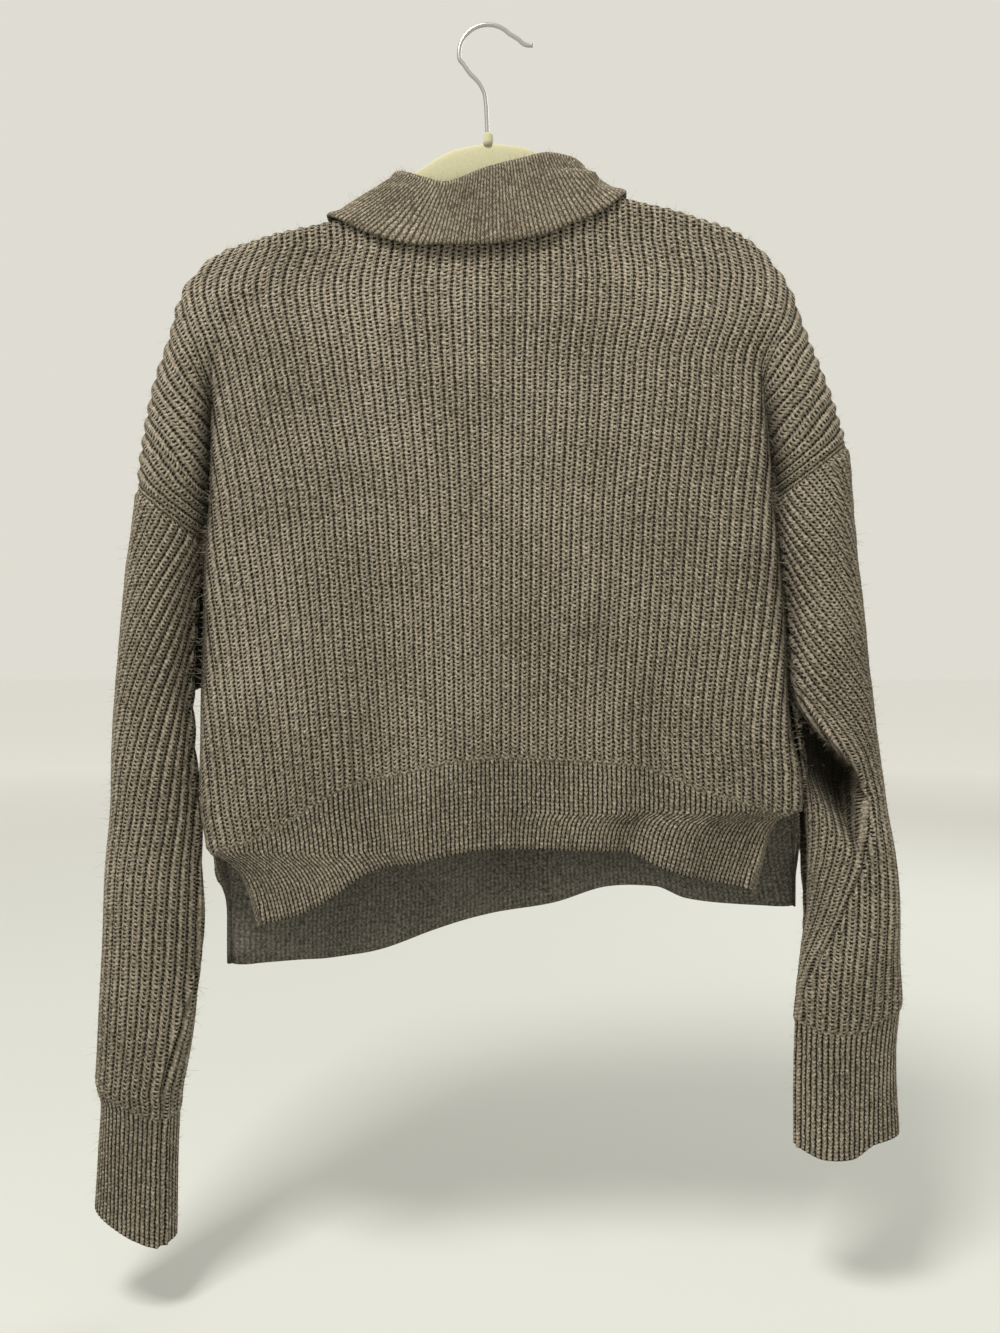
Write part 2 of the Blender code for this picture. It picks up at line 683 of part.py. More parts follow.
def collar_stations():
    """Shares of the way round: close together over the shoulders, wider elsewhere."""
    spans = ((0.0, 0.22, 5), (0.22, 0.38, 9), (0.38, 0.68, 7), (0.68, 0.84, 9), (0.84, 1.0, 4))
    places = [np.linspace(start, end, count, endpoint=False) for start, end, count in spans]
    return np.concatenate(places + [[1.0]])


def clear_depth(face, x, drop):
    """Least half depth that keeps the collar's fall outside a panel at x and drop."""
    seam = LEFT_SEAM if x < MIDDLE_X else RIGHT_SEAM
    xs = seam.values[:, 1]
    order = np.argsort(xs)
    share = (x - MIDDLE_X) / abs(seam.values[0][1] - MIDDLE_X)
    top = float(smooth_curve(xs[order], seam.values[order, 2], x)) - COLLAR_CLEAR
    top -= 0 if abs(share) > 1 else NECK_REACH
    if drop <= top:
        return 0.0
    deep = max(float(panel_depth(face, x, drop, 0)), neck_depth(face, share)) + COLLAR_CLEAR
    reach = SHOULDER_ROUND + COLLAR_CLEAR if abs(share) > 1 else NECK_REACH
    return deep * float(rounded((drop - top) / reach))


def collar_place(part, share):
    """Point of the collar's fold or edge at a share of the way round."""
    x, y, drop = (float(COLLAR(part + name, share)) for name in ("_x", "_y", "_drop"))
    return np.array((x, y, -drop))


def collar_line(share):
    """Middle line of the collar's wall across one station, from its seam to its edge."""
    face = "front" if share < 0.3 or share > 0.76 else "back"
    sign = 1 if face == "front" else -1
    x, depth, drop = neck_edge(face, float(COLLAR("wale", share)))
    seam = np.array((x, sign * max(depth - KNIT_WALL / 2, 0.0), -drop))
    fold, edge = collar_place("fold", share), collar_place("edge", share)
    rise = np.array((0, 0, 1.0))
    ahead = collar_place("fold", min(share + 0.01, 1.0)) - collar_place("fold", max(share - 0.01, 0.0))
    out = np.array((ahead[1], -ahead[0], 0.0))
    out *= np.sign(out @ (fold - (MIDDLE_X, 0, 0)) + 1e-9) / np.linalg.norm(out)
    seam = seam + rise * (COLLAR_WALL / 2 + 1.2)
    turn = np.radians((180, 120, 60, 0))
    centre = fold - rise * FOLD_RADIUS
    over = [centre + FOLD_RADIUS * (out * math.cos(a) + rise * math.sin(a)) for a in turn]
    line = [seam, seam * 0.5 + over[0] * 0.5] + over
    line += [over[-1] * (1 - part) + edge * part for part in (0.3, 0.65, 1.0)]
    line = np.array(line)
    for point in line[6:]:
        side = "front" if point[1] > 0 else "back"
        least = clear_depth(side, point[0], -point[2])
        if abs(point[1]) < least:
            point[1] = math.copysign(least, sign if abs(point[1]) < 0.5 else point[1])
    return line


def collar(material):
    """Turned-down collar: a wall swept round the neck, open at the front."""
    middle = np.array([collar_line(share) for share in collar_stations()])
    normal = np.cross(np.gradient(middle, axis=0), np.gradient(middle, axis=1))
    normal /= np.linalg.norm(normal, axis=2, keepdims=True)
    outer = middle + normal * COLLAR_WALL / 2
    inner = middle - normal * COLLAR_WALL / 2
    columns = list(range(middle.shape[1]))
    return wall_object("collar", outer, inner, columns, False, material)


# ---------------------------------------------------------------- hanger and its hook
HANGER_THICK = 5.5
HANGER_DEEP = 26.0  # height of each arm
HANGER_TILT = math.radians(2.5)  # the left arm hangs a little lower
HANGER_TOP = Table(
    "x drop",
    (0, 91),
    (25, 95),
    (50, 107),
    (64, 118),
    (72, 133),
    (78, 143),
    (94, 149.5),
    (120, 157),
    (150, 166),
    (180, 178),
    (209, 197),
)
BOSS_RADIUS, BOSS_TOP, BOSS_DEEP = 4.0, 84.0, 12.0
HOOK_WIRE = 1.65  # radius of the hook's wire
HOOK_RADIUS = 22.6
HOOK_POINTS = (
    (-0.5, 83.6),
    (-1.0, 70.0),
    (-2.3, 54.0),
    (-6.5, 44.5),
    (-14.5, 36.0),
    (-20.2, 27.5),
)


def hanger(material):
    """Flat arched hanger with a rounded edge and a boss for the hook."""
    xs = np.array([-209, -203, -190, -165, -140, -115, -94, -80, -66, -50, -36, -25, -12])
    xs = np.concatenate([xs, [0], -xs[::-1]]).astype(float)
    top = HANGER_TOP("drop", np.abs(xs))
    deep = HANGER_DEEP * (0.42 + 0.58 * np.sqrt(1 - (np.abs(xs) / 212) ** 8))
    half = HANGER_THICK / 2
    ring = []
    for x, y_top, height in zip(xs, top, deep):
        low = y_top + height
        section = (
            (-half, y_top + 1.6),
            (-half + 1.2, y_top),
            (half - 1.2, y_top),
            (half, y_top + 1.6),
            (half, low - 1.6),
            (half - 1.2, low),
            (-half + 1.2, low),
            (-half, low - 1.6),
        )
        ring.append([(x, y, -drop) for y, drop in section])
    ring = np.array(ring)
    pivot = np.array((0, 0, -91.0))
    turn = np.array(
        (
            (math.cos(HANGER_TILT), 0, -math.sin(HANGER_TILT)),
            (0, 1, 0),
            (math.sin(HANGER_TILT), 0, math.cos(HANGER_TILT)),
        )
    )
    ring = (ring - pivot) @ turn.T + pivot
    sides = ring.shape[1]
    points = ring.reshape(-1, 3) * MM
    faces = [tuple(range(sides)), tuple((len(xs) - 1) * sides + k for k in range(sides))]
    for i in range(len(xs) - 1):
        for k in range(sides):
            a, b = i * sides + k, i * sides + (k + 1) % sides
            faces.append((a, b, b + sides, a + sides))
    made = mesh_object("hanger", points, faces, material)
    bpy.ops.mesh.primitive_cylinder_add(
        vertices=24,
        radius=BOSS_RADIUS * MM,
        depth=BOSS_DEEP * MM,
        location=(0, 0, -(BOSS_TOP + BOSS_DEEP / 2) * MM),
    )
    boss = bpy.context.active_object
    union = made.modifiers.new("boss", "BOOLEAN")
    union.operation = "UNION"
    union.object = boss
    mesh = bpy.data.meshes.new_from_object(made.evaluated_get(bpy.context.evaluated_depsgraph_get()))
    mesh.name = "hanger"
    made.modifiers.clear()
    made.data = mesh
    bpy.data.objects.remove(boss)
    return made


def hook(material):
    """Round wire hook: a stem, a bend and a round top that ends in a knob."""
    path = [(x, drop) for x, drop in HOOK_POINTS]
    centre_drop = HOOK_RADIUS - HOOK_WIRE
    for degrees in range(196, 36, -12):
        angle = math.radians(degrees)
        path.append((HOOK_RADIUS * math.cos(angle), centre_drop - HOOK_RADIUS * math.sin(angle)))
    path += [(22.5, 8.6), (27.0, 13.0), (31.5, 14.6), (36.0, 14.4)]
    curve = bpy.data.curves.new("hanger_hook", "CURVE")
    curve.dimensions = "3D"
    curve.bevel_depth = HOOK_WIRE * MM
    curve.bevel_resolution = 2
    curve.use_fill_caps = True
    spline = curve.splines.new("POLY")
    spline.points.add(len(path) - 1)
    for point, (x, drop) in zip(spline.points, path):
        point.co = (x * MM, 0, -drop * MM, 1)
    made = bpy.data.objects.new("hanger_hook", curve)
    COLLECTION.objects.link(made)
    curve.materials.append(material)
    return made


# ---------------------------------------------------------------- build
for old in list(bpy.data.objects):
    bpy.data.objects.remove(old)
COLLECTION = bpy.data.collections.new("Cropped knit sweater")
bpy.context.scene.collection.children.link(COLLECTION)

knit = knit_material("Knit", SWEATER_COLOUR, 0.95)
knit_front = knit_material("Knit front", SWEATER_INSIDE_COLOUR, 0.95)
collar_knit = knit_material("Collar knit", COLLAR_COLOUR, 0.95)
flocked = knit_material("Flocked hanger", HANGER_COLOUR, 0.9)
chrome = knit_material("Chrome wire", CHROME_COLOUR, 0.25, 1.0)

panel("back", "back_panel", knit)
panel("front", "front_panel", knit_front)
sleeve("sleeve_left", LEFT_SLEEVE, LEFT_SEAM, LEFT_FOLD, LEFT_CUFF, knit)
sleeve("sleeve_right", RIGHT_SLEEVE, RIGHT_SEAM, RIGHT_FOLD, RIGHT_CUFF, knit)
collar(collar_knit)
hanger(flocked)
hook(chrome)
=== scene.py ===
# %% [markdown]
# # A cropped knit sweater on its hanger
# The sweater is five knitted pieces: a back, a front, two sleeves and a turned-down collar.
# Each one is a curved wall of rib knit. Its shape is a function of two parameters, the rib
# (wale) across the piece and the row along it, so the same functions give the wall, the
# relief of the ribs and the coordinates that the knitted stitches follow.
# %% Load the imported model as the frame
import math

import bpy
import numpy as np
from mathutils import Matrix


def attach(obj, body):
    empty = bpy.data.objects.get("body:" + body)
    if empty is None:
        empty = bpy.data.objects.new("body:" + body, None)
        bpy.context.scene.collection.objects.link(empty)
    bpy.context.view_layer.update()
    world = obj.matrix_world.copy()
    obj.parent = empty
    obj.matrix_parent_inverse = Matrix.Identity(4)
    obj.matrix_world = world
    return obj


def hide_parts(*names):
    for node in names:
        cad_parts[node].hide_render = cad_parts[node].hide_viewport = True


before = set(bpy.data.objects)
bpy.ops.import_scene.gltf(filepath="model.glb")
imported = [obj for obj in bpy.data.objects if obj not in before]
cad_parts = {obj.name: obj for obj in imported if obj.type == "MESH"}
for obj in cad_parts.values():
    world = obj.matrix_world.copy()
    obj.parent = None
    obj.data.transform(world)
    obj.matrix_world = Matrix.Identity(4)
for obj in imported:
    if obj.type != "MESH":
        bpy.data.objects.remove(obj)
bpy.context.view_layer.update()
MM = 0.001
print("frame holds", sorted(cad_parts))

# %% [markdown]
# Sizes are in millimetres. "drop" is measured down from the inside top of the hook, and
# "depth" out from the upright plane through the hanger. The sweater is seen from its back,
# which faces -Y. These are the sizes that the solids were made from.
# %% Sizes of the garment
HALF_WALES = 35  # ribs from the middle of a panel to its side edge
NECK_WALES = 9  # ribs from the middle to the neck point
MIDDLE_X = 7.0  # where the middle rib runs
EDGE_BUNCHING = 0.14  # how much closer the hem's corners lie where the sides turn round
ROLL = 5.0  # width of the roll at a side in which the last ribs turn to the other face
VALLEY_FLOOR = 3.4  # least depth of the fold between body and shoulder
VALLEY_SOFTNESS = 6.0
FOLD_FADE = 80
NECK_DEPTH = {"back": 17.0, "front": 18.0}
SHOULDER_ROUND = 10.0
KNIT_WALL = 3.0
COURSE = 3.1  # height of one row of stitches
HEM_RIB = 69  # height of the fine rib at the hems
CUFF_RIB = 98


# %% Smooth curves through short tables
def smooth_curve(xs, ys, at):
    """Cubic through (xs, ys) that never overshoots a row: slopes are harmonic means."""
    xs, ys, at = np.asarray(xs, float), np.asarray(ys, float), np.asarray(at, float)
    step = np.diff(xs)
    slope = np.diff(ys) / step
    tangent = np.zeros_like(ys)
    tangent[0], tangent[-1] = slope[0], slope[-1]
    before, after = slope[:-1], slope[1:]
    same_way = before * after > 0
    w1, w2 = 2 * step[1:] + step[:-1], step[1:] + 2 * step[:-1]
    safe_before = np.where(same_way, before, 1.0)
    safe_after = np.where(same_way, after, 1.0)
    mean = (w1 + w2) / (w1 / safe_before + w2 / safe_after)
    tangent[1:-1] = np.where(same_way, mean, 0.0)
    k = np.clip(np.searchsorted(xs, at) - 1, 0, len(xs) - 2)
    t = np.clip((at - xs[k]) / step[k], 0.0, 1.0)
    return (
        (1 + 2 * t) * (1 - t) ** 2 * ys[k]
        + t * (1 - t) ** 2 * step[k] * tangent[k]
        + t**2 * (3 - 2 * t) * ys[k + 1]
        + t**2 * (t - 1) * step[k] * tangent[k + 1]
    )


class Table:
    """Rows of sizes under named columns. Calling it reads one, by the first or by `key`."""

    def __init__(self, names, *rows):
        self.names = names.split()
        self.values = np.array(rows, float)

    def column(self, name):
        return self.values[:, self.names.index(name)]

    def __call__(self, name, at, key=None):
        keys = self.column(key) if key else self.values[:, 0]
        return smooth_curve(keys, self.column(name), at)


def ease(t):
    """0 to 1 with a level start and end: t*t*(3 - 2t)."""
    t = np.clip(t, 0.0, 1.0)
    return t * t * (3 - 2 * t)


def unit(vectors):
    """Vectors of length 1."""
    return vectors / np.maximum(np.linalg.norm(vectors, axis=-1, keepdims=True), 1e-9)


def circle(a, b, angle):
    """Points a cos(angle) + b sin(angle), for one vector or rows of vectors a and b."""
    a, b, angle = np.atleast_2d(a)[:, None], np.atleast_2d(b)[:, None], angle[None, :, None]
    return a * np.cos(angle) + b * np.sin(angle)


# %% Tables of the garment
# The body below and between the shoulders: side edges and half depths at each drop.
BODY = Table(
    "drop left right back front",
    (100, -236, 226, 11, 11), (178, -236, 226, 13, 12), (213, -242, 240, 17, 15),
    (240, -242, 236, 21, 17), (262, -226, 218, 23, 19), (291, -215.5, 215.5, 27, 22),
    (330, -214.6, 219, 31, 25), (371, -215.6, 221.5, 34, 27), (404, -217.5, 225, 36, 28),
    (457, -218.5, 229.5, 38, 29), (521, -220.5, 231, 39, 30), (552, -221.5, 234, 39, 30),
    (583, -222, 241, 38, 30), (609, -220.5, 243, 37, 30), (638, -216, 243, 36, 30),
    (745, -216, 243, 35, 30),
)
# The free edges of the side slits, below which back and front hang apart.
BACK_SLIT = Table(
    "drop left right",
    (609, -220.5, 243), (614, -220.0, 228), (622, -219.0, 220), (638, -216, 213),
    (648, -201, 209), (660, -189, 204), (680, -179, 198), (700, -172, 194),
)
FRONT_SLIT = Table(
    "drop left right",
    (609, -220.5, 243), (638, -216, 245), (668, -212, 246), (686, -209, 246), (740, -209, 246),
)
LEFT_SLIT_TOP, RIGHT_SLIT_TOP = 638, 609
# The hems, by the share of the way from the middle rib (0) to a side edge (-1 or 1).
BACK_HEM = Table(
    "share drop",
    (-1.0, 699), (-0.82, 686), (-0.65, 667), (-0.54, 655), (-0.32, 646), (-0.15, 639), (0.0, 636),
    (0.35, 636), (0.5, 638), (0.58, 643), (0.65, 649), (0.8, 658), (1.0, 671),
)
FRONT_HEM = Table(
    "share drop",
    (-1.0, 737), (-0.70, 736), (-0.55, 730), (-0.26, 712), (0.0, 697), (0.2, 688), (0.4, 677),
    (0.57, 675), (0.66, 683), (0.8, 687), (1.0, 691),
)
# Where each rib ends at the shoulder seam, from the neck point out to the armhole seam.
LEFT_SEAM = Table(
    "wale x drop",
    (9, -79, 139), (11.9, -106, 148), (15.5, -140, 158), (19.3, -175, 167), (22.5, -205, 178),
    (24.6, -237, 214), (27, -248, 251), (29.6, -260, 291), (32.5, -266.5, 330), (35, -270, 361),
)
RIGHT_SEAM = Table(
    "wale x drop",
    (9, 84, 129), (11.4, 106, 135), (14.9, 138, 143.5), (19.1, 176, 157), (22.5, 207, 172),
    (24.6, 232, 203), (27, 246, 240), (29.6, 256, 270), (32.5, 269, 303), (35, 277, 327),
)
# The fold where the shoulder falls beside the body, by the rib that passes through it.
LEFT_FOLD = Table(
    "wale x drop",
    (0, -150, 226), (20, -190, 229), (23.5, -211, 236), (25.4, -213.5, 262), (26.2, -214, 291),
    (28.3, -214, 330), (30.4, -215, 366), (35, -217.5, 404),
)
RIGHT_FOLD = Table(
    "wale x drop",
    (0, 140, 214), (20, 180, 217), (23.5, 200, 224), (25.4, 206, 250), (26.2, 211, 275),
    (28.3, 215.5, 306), (30.4, 219, 338), (35, 221.5, 371),
)
# Each sleeve and the shoulder that falls into it: its outer and inner edge, half depths.
LEFT_SLEEVE = Table(
    "drop outer inner back front",
    (178, -205, -125, 12, 11), (213, -236.5, -170, 17, 15), (250, -248, -203, 23, 19),
    (291, -260, -212, 29, 24), (330, -266.5, -213.6, 33, 27), (366, -270.5, -214.8, 35, 29),
    (404, -274.5, -220.5, 36, 30), (437, -278, -228.5, 36, 30), (479, -282.5, -232.5, 36, 30),
    (525, -286, -234, 35, 30), (572, -289, -232.5, 35, 29), (622, -291.5, -227.5, 34, 28),
    (665, -294.5, -225.5, 33, 28), (713, -297, -226, 31, 27), (766, -300, -231, 29, 25),
    (810, -303, -238, 26, 23), (824, -304, -240.5, 25, 22), (837, -300.5, -241.5, 23, 21),
    (873, -302.5, -242, 22, 20), (945, -306, -243, 22, 20),
)
RIGHT_SLEEVE = Table(
    "drop outer inner back front",
    (175, 212, 130, 12, 11), (213, 236, 176, 17, 15), (240, 246, 198, 22, 18),
    (275, 260, 209, 27, 22), (306, 270, 215, 31, 25), (338, 278, 219, 34, 28),
    (371, 280, 225, 36, 30), (415, 284, 232, 37, 30), (474, 289.5, 235, 37, 30),
    (504, 293, 237.5, 36, 30), (531, 296.5, 240.5, 35, 29), (556, 300, 244.5, 33, 28),
    (580, 304, 248, 31, 28), (610, 308, 250, 31, 28), (642, 313, 251, 32, 28),
    (685, 317, 251, 31, 27), (728, 319, 246, 29, 26), (757, 320.5, 243, 27, 24),
    (773, 319, 243, 25, 22), (795, 317.5, 243, 24, 21), (875, 319, 241, 22, 20),
)
# The lower edge of each cuff, by the share of the way from its outer to its inner side.
LEFT_CUFF = Table("share drop", (0.0, 917), (0.3, 926), (0.6, 936), (0.85, 943), (1.0, 942))
RIGHT_CUFF = Table("share drop", (0.0, 860), (0.3, 863), (0.55, 874), (0.8, 876), (1.0, 872))
SLIT_RIM = 4.0  # how far the free edges of the side slits curl out
SLIT_OPENS, SLIT_DEPTH = 60, 0.72  # they open over this drop, to this share of the depth
SIDE_POWER = 9  # how square the body's section is
FOLD_GROWTH = 2.1  # the dressed folds stand a little higher than those of the solids
# Large soft folds, each by its middle rib, its half width in ribs, the drop where it
# begins, the drop where it is full, and its depth outwards.
BACK_FOLDS = (
    (-19.0, 4.0, 440, 610, 3.2), (-13.8, 3.2, 470, 610, -5.0), (-8.0, 4.5, 520, 640, 2.4),
    (3.0, 5.0, 500, 650, -2.0), (11.0, 5.0, 480, 620, 2.2), (16.8, 2.8, 430, 600, -4.2),
    (22.0, 4.0, 460, 600, 3.0), (28.0, 3.0, 540, 640, -2.4),
)
FRONT_FOLDS = (
    (-22.0, 4.5, 420, 620, 3.0), (-14.0, 4.0, 460, 640, -3.6), (-5.0, 5.0, 480, 660, 2.6),
    (6.0, 4.0, 420, 600, -3.0), (14.0, 3.4, 480, 640, 3.4), (24.0, 7.0, 560, 670, -7.0),
)


# %% [markdown]
# ## The form of the back and front
# A panel hangs as a shallow curved wall. Below the arms it is one curve from side to side.
# Above, the drop shoulder falls outside the body, with a fold between the two. The softer of
# the two depths wins, which rounds the line where they meet as real cloth does.
# %% Depth of the wall
def softer_max(a, b, softness):
    """The larger of two heights, with their meeting line rounded by `softness`."""
    near = np.clip(0.5 + 0.5 * (a - b) / softness, 0.0, 1.0)
    return b + (a - b) * near + softness * near * (1 - near) * 0.5


def rounded(t):
    """Height of a quarter circle, from 0 at its edge to 1 on its top."""
    return np.sqrt(1 - (1 - np.clip(t, 0.0, 1.0)) ** 2)


def spread(share, bunching):
    """Place of a rib across a half panel: even in the middle, closer at its round edge."""
    size = np.abs(share)
    return np.sign(share) * ((1 + bunching) * size - bunching * size**5)


def sleeve_depth(table, face, x, drop):
    """Half depth of a sleeve, an ellipse at each drop, at x."""
    outer, inner = table("outer", drop), table("inner", drop)
    across = (x - (outer + inner) / 2) / (np.abs(outer - inner) / 2)
    return table(face, drop) * np.sqrt(np.clip(1 - across**2, 0.0, 1.0))


def edges(face, drop):
    """Left and right side edge of a panel at a drop, slits included."""
    slit = BACK_SLIT if face == "back" else FRONT_SLIT
    left = np.where(drop > LEFT_SLIT_TOP, slit("left", drop), BODY("left", drop))
    right = np.where(drop > RIGHT_SLIT_TOP, slit("right", drop), BODY("right", drop))
    return left, right


def panel_depth(face, x, drop, wale):
    """Half depth of the back or front at x and drop: body, shoulders and folds."""
    left, right = edges(face, drop)
    half = np.where(x < MIDDLE_X, MIDDLE_X - left, right - MIDDLE_X)
    across = np.abs(x - MIDDLE_X) / half
    flat = np.sqrt(np.clip(1 - across**SIDE_POWER, 0.0, 1.0))
    slit_top = np.where(x < MIDDLE_X, LEFT_SLIT_TOP, RIGHT_SLIT_TOP)
    opened = ease((drop - slit_top) / SLIT_OPENS)
    flat = np.maximum(flat, flat * (1 - opened) + opened * SLIT_DEPTH)
    depth = BODY(face, drop) * flat
    from_edge = np.minimum(np.abs(x - left), np.abs(right - x))
    depth = depth + SLIT_RIM * opened * np.exp(-(((from_edge - 3.5) / 4.0) ** 2))
    folds = BACK_FOLDS if face == "back" else FRONT_FOLDS
    for middle, width, begins, full, height in folds:
        bump = np.exp(-(((wale - middle) / width) ** 2))
        depth = depth + FOLD_GROWTH * height * bump * ease((drop - begins) / (full - begins)) * flat
    left_side = sleeve_depth(LEFT_SLEEVE, face, x, drop)
    right_side = sleeve_depth(RIGHT_SLEEVE, face, x, drop)
    shoulder = np.where(x < MIDDLE_X, left_side, right_side)
    arm_end = np.where(x < MIDDLE_X, LEFT_FOLD.values[-1, 2], RIGHT_FOLD.values[-1, 2])
    softness = VALLEY_SOFTNESS + 14 * (1 - ease((drop - 235) / 70))
    joined = softer_max(depth, shoulder, softness)
    return np.where(drop < arm_end, np.maximum(joined, VALLEY_FLOOR), depth)


# %% Where each rib runs
# The ribs draw together towards the hem, so fewer of them show higher up, and the last
# ones turn round the side. This is how many show between the middle and a side.
RIBS_SHOWN = Table(
    "drop count",
    (213, 23.2), (300, 24.6), (375, 26.4), (449, 28.2), (486, 29.0), (524, 29.9), (553, 30.6),
    (598, 31.4), (640, 31.6), (700, 30.5),
)
SIDE_WIDENING = 0.06  # how much closer the ribs lie in the middle than on average


def rolled_x(size, last, reach, drop):
    """Distance out from the middle of ribs up to number `last`, which lies at `reach`.

    Ribs that show are spread by (1 - k) s + k s^3, so they lie a little closer in the
    middle. The rest share the width of the roll at the side.
    """
    width = np.abs(reach)
    shown = np.minimum(RIBS_SHOWN("count", drop), last)
    roll = ROLL * np.clip((last - shown) / 4, 0, 1)
    widening = SIDE_WIDENING * ease((drop - 250) / 150)
    share = np.minimum(size / shown, 1.0)
    near = (width - roll) * ((1 - widening) * share + widening * share**3)
    far = width - roll * (last - size) / np.maximum(last - shown, 0.01)
    return np.sign(reach) * np.where(size <= shown, near, far)


def half_x(face, side, size, drop):
    """x of rib number `size` on one side (-1 left, 1 right) at a drop."""
    seam, fold = (LEFT_SEAM, LEFT_FOLD) if side < 0 else (RIGHT_SEAM, RIGHT_FOLD)
    arm_drop = fold.values[-1, 2]
    edge = edges(face, drop)[0 if side < 0 else 1]
    below = MIDDLE_X + rolled_x(size, float(HALF_WALES), edge - MIDDLE_X, drop)
    fold_wale = np.maximum(fold("wale", drop, "drop"), 1.0)
    fold_x = fold("x", drop, "drop")
    seam_wale, seam_x = arm_edge(seam, fold, drop)
    weight = ease((drop - fold.values[2, 2]) / FOLD_FADE)
    straight = MIDDLE_X + (seam_x - MIDDLE_X) * np.minimum(size / seam_wale, 1.0)
    near = MIDDLE_X + rolled_x(np.minimum(size, fold_wale), fold_wale, fold_x - MIDDLE_X, drop)
    share = np.minimum((size - fold_wale) / np.maximum(seam_wale - fold_wale, 0.01), 1.0)
    far = fold_x + (seam_x - fold_x) * share
    folded = np.where(size <= fold_wale, near, far)
    return np.where(drop >= arm_drop, below, straight * (1 - weight) + folded * weight)


def arm_edge(seam, fold, drop):
    """Outermost rib and its x at a drop: on the shoulder seam, or on the armhole seam."""
    _, last_x, last_drop = seam.values[-1]
    share = (drop - last_drop) / (fold.values[-1, 2] - last_drop)
    sloping = last_x + (fold.values[-1, 1] - last_x) * share
    on_seam = drop <= last_drop
    wale = np.where(on_seam, seam("wale", drop, "drop"), float(HALF_WALES))
    return wale, np.where(on_seam, seam("x", drop, "drop"), sloping)


def panel_x(face, wale, drop):
    """x of a signed rib number at a drop."""
    size = np.abs(wale)
    return np.where(wale < 0, half_x(face, -1, size, drop), half_x(face, 1, size, drop))


def neck_depth(face, share):
    """Half depth of the neck opening, a squared-off curve: full*(1 - share^4)^(1/4)."""
    return NECK_DEPTH[face] * np.maximum(1 - np.abs(share) ** 4, 0.0) ** 0.25


def neck_edge(face, wale):
    """x, depth and drop of the neck's edge on a rib between the two neck points."""
    share = np.clip(wale / NECK_WALES, -1.0, 1.0)
    left, right = LEFT_SEAM.values[0], RIGHT_SEAM.values[0]
    point_drop = left[2] + (right[2] - left[2]) * (share + 1) / 2
    hollow, power = (12.0, 2.0) if face == "back" else (66.0, 1.15)
    drop = point_drop + hollow * (1 - np.abs(share) ** power)
    return panel_x(face, wale, drop), neck_depth(face, share), drop


def panel_surface(face, wale, row):
    """Points (rows, ribs, 3) of a panel.

    row runs 0 to 1 from the hem to just below the arms, 1 to 2 from there to the fold
    beside the body, and 2 to 3 from there to the shoulder seam or neck. Between those
    marks the drop is linear, and x and depth follow from the rib and the drop.
    """
    wale, row = wale[None, :], row[:, None]
    size = np.abs(wale)
    hem = BACK_HEM if face == "back" else FRONT_HEM
    hem_drop = hem("drop", spread(wale / HALF_WALES, EDGE_BUNCHING))
    neck_x, neck_out, neck_drop = neck_edge(face, wale)
    at_neck = size <= NECK_WALES
    left = wale < 0
    seam_x = np.where(left, LEFT_SEAM("x", size), RIGHT_SEAM("x", size))
    seam_drop = np.where(left, LEFT_SEAM("drop", size), RIGHT_SEAM("drop", size))
    top_x, top_drop = np.where(at_neck, neck_x, seam_x), np.where(at_neck, neck_drop, seam_drop)
    fold_drop = np.where(left, LEFT_FOLD("drop", size), RIGHT_FOLD("drop", size))
    third = np.where(size > 23.5, fold_drop, np.maximum(fold_drop, top_drop + 14))
    second = np.where(left, LEFT_FOLD.values[-1, 2], RIGHT_FOLD.values[-1, 2]) + 10
    drop = hem_drop + (second - hem_drop) * np.clip(row, 0, 1)
    drop = drop + (third - second) * np.clip(row - 1, 0, 1)
    drop = drop + (top_drop - third) * np.clip(row - 2, 0, 1)
    x = panel_x(face, wale, drop)
    depth = panel_depth(face, x, drop, wale)
    below = drop - top_drop
    reach = SHOULDER_ROUND * (1 - ease((size - 23.5) / 3))
    shoulder = np.where(reach > 0.01, depth * rounded(below / np.maximum(reach, 0.01)), depth)
    neck = neck_out + (depth - neck_out) * ease(below / 70)
    neck = np.where(neck_out < depth, np.maximum(shoulder, neck), neck)
    depth = np.where(size < NECK_WALES, neck, shoulder)
    at_top = row >= 3
    x = np.where(at_top, top_x, x)
    depth = np.where(at_top, np.where(at_neck, neck_out, 0.0), depth)
    sign = -1 if face == "back" else 1
    return np.stack([x, sign * (depth + 0.15), -drop], axis=2)


# %% [markdown]
# ## From a grid to a knitted wall
# A knit is a wall with ribs on it. The grid gives its middle surface; the ribs are raised
# along the grid's normals, and a second, plainer grid behind it is the inside. The two are
# zipped together along the hem, the sides and the top, so that each piece is closed.
# %% Helpers for grids
def normals_of(grid, sign):
    """Unit normals of a grid of points: the cross product of its two directions."""
    down, across = np.gradient(grid, axis=0), np.gradient(grid, axis=1)
    return unit(np.cross(down, across) * sign)


def length_along(grid):
    """Distance along each column from its first row."""
    step = np.linalg.norm(np.diff(grid, axis=0), axis=2)
    return np.vstack([np.zeros(grid.shape[1]), np.cumsum(step, axis=0)])


def quads(index):
    """Four corners of each cell of a grid of vertex numbers."""
    a, b, c, d = index[:-1, :-1], index[:-1, 1:], index[1:, 1:], index[1:, :-1]
    return np.stack([a, b, c, d], axis=2).reshape(-1, 4)


def zipped(fine, coarse):
    """Triangles between a fine line of vertices and one with every k-th point of it."""
    ratio = (len(fine) - 1) // (len(coarse) - 1)
    place = np.arange(len(fine) - 1)
    near = (place + (ratio + 1) // 2) // ratio
    rungs = np.stack([fine[:-1], fine[1:], coarse[near]], axis=1)
    k = np.arange(len(coarse) - 1)
    middle = fine[k * ratio + ratio // 2]
    steps = np.stack([middle, coarse[k + 1], coarse[k]], axis=1)
    return np.concatenate([rungs, steps])


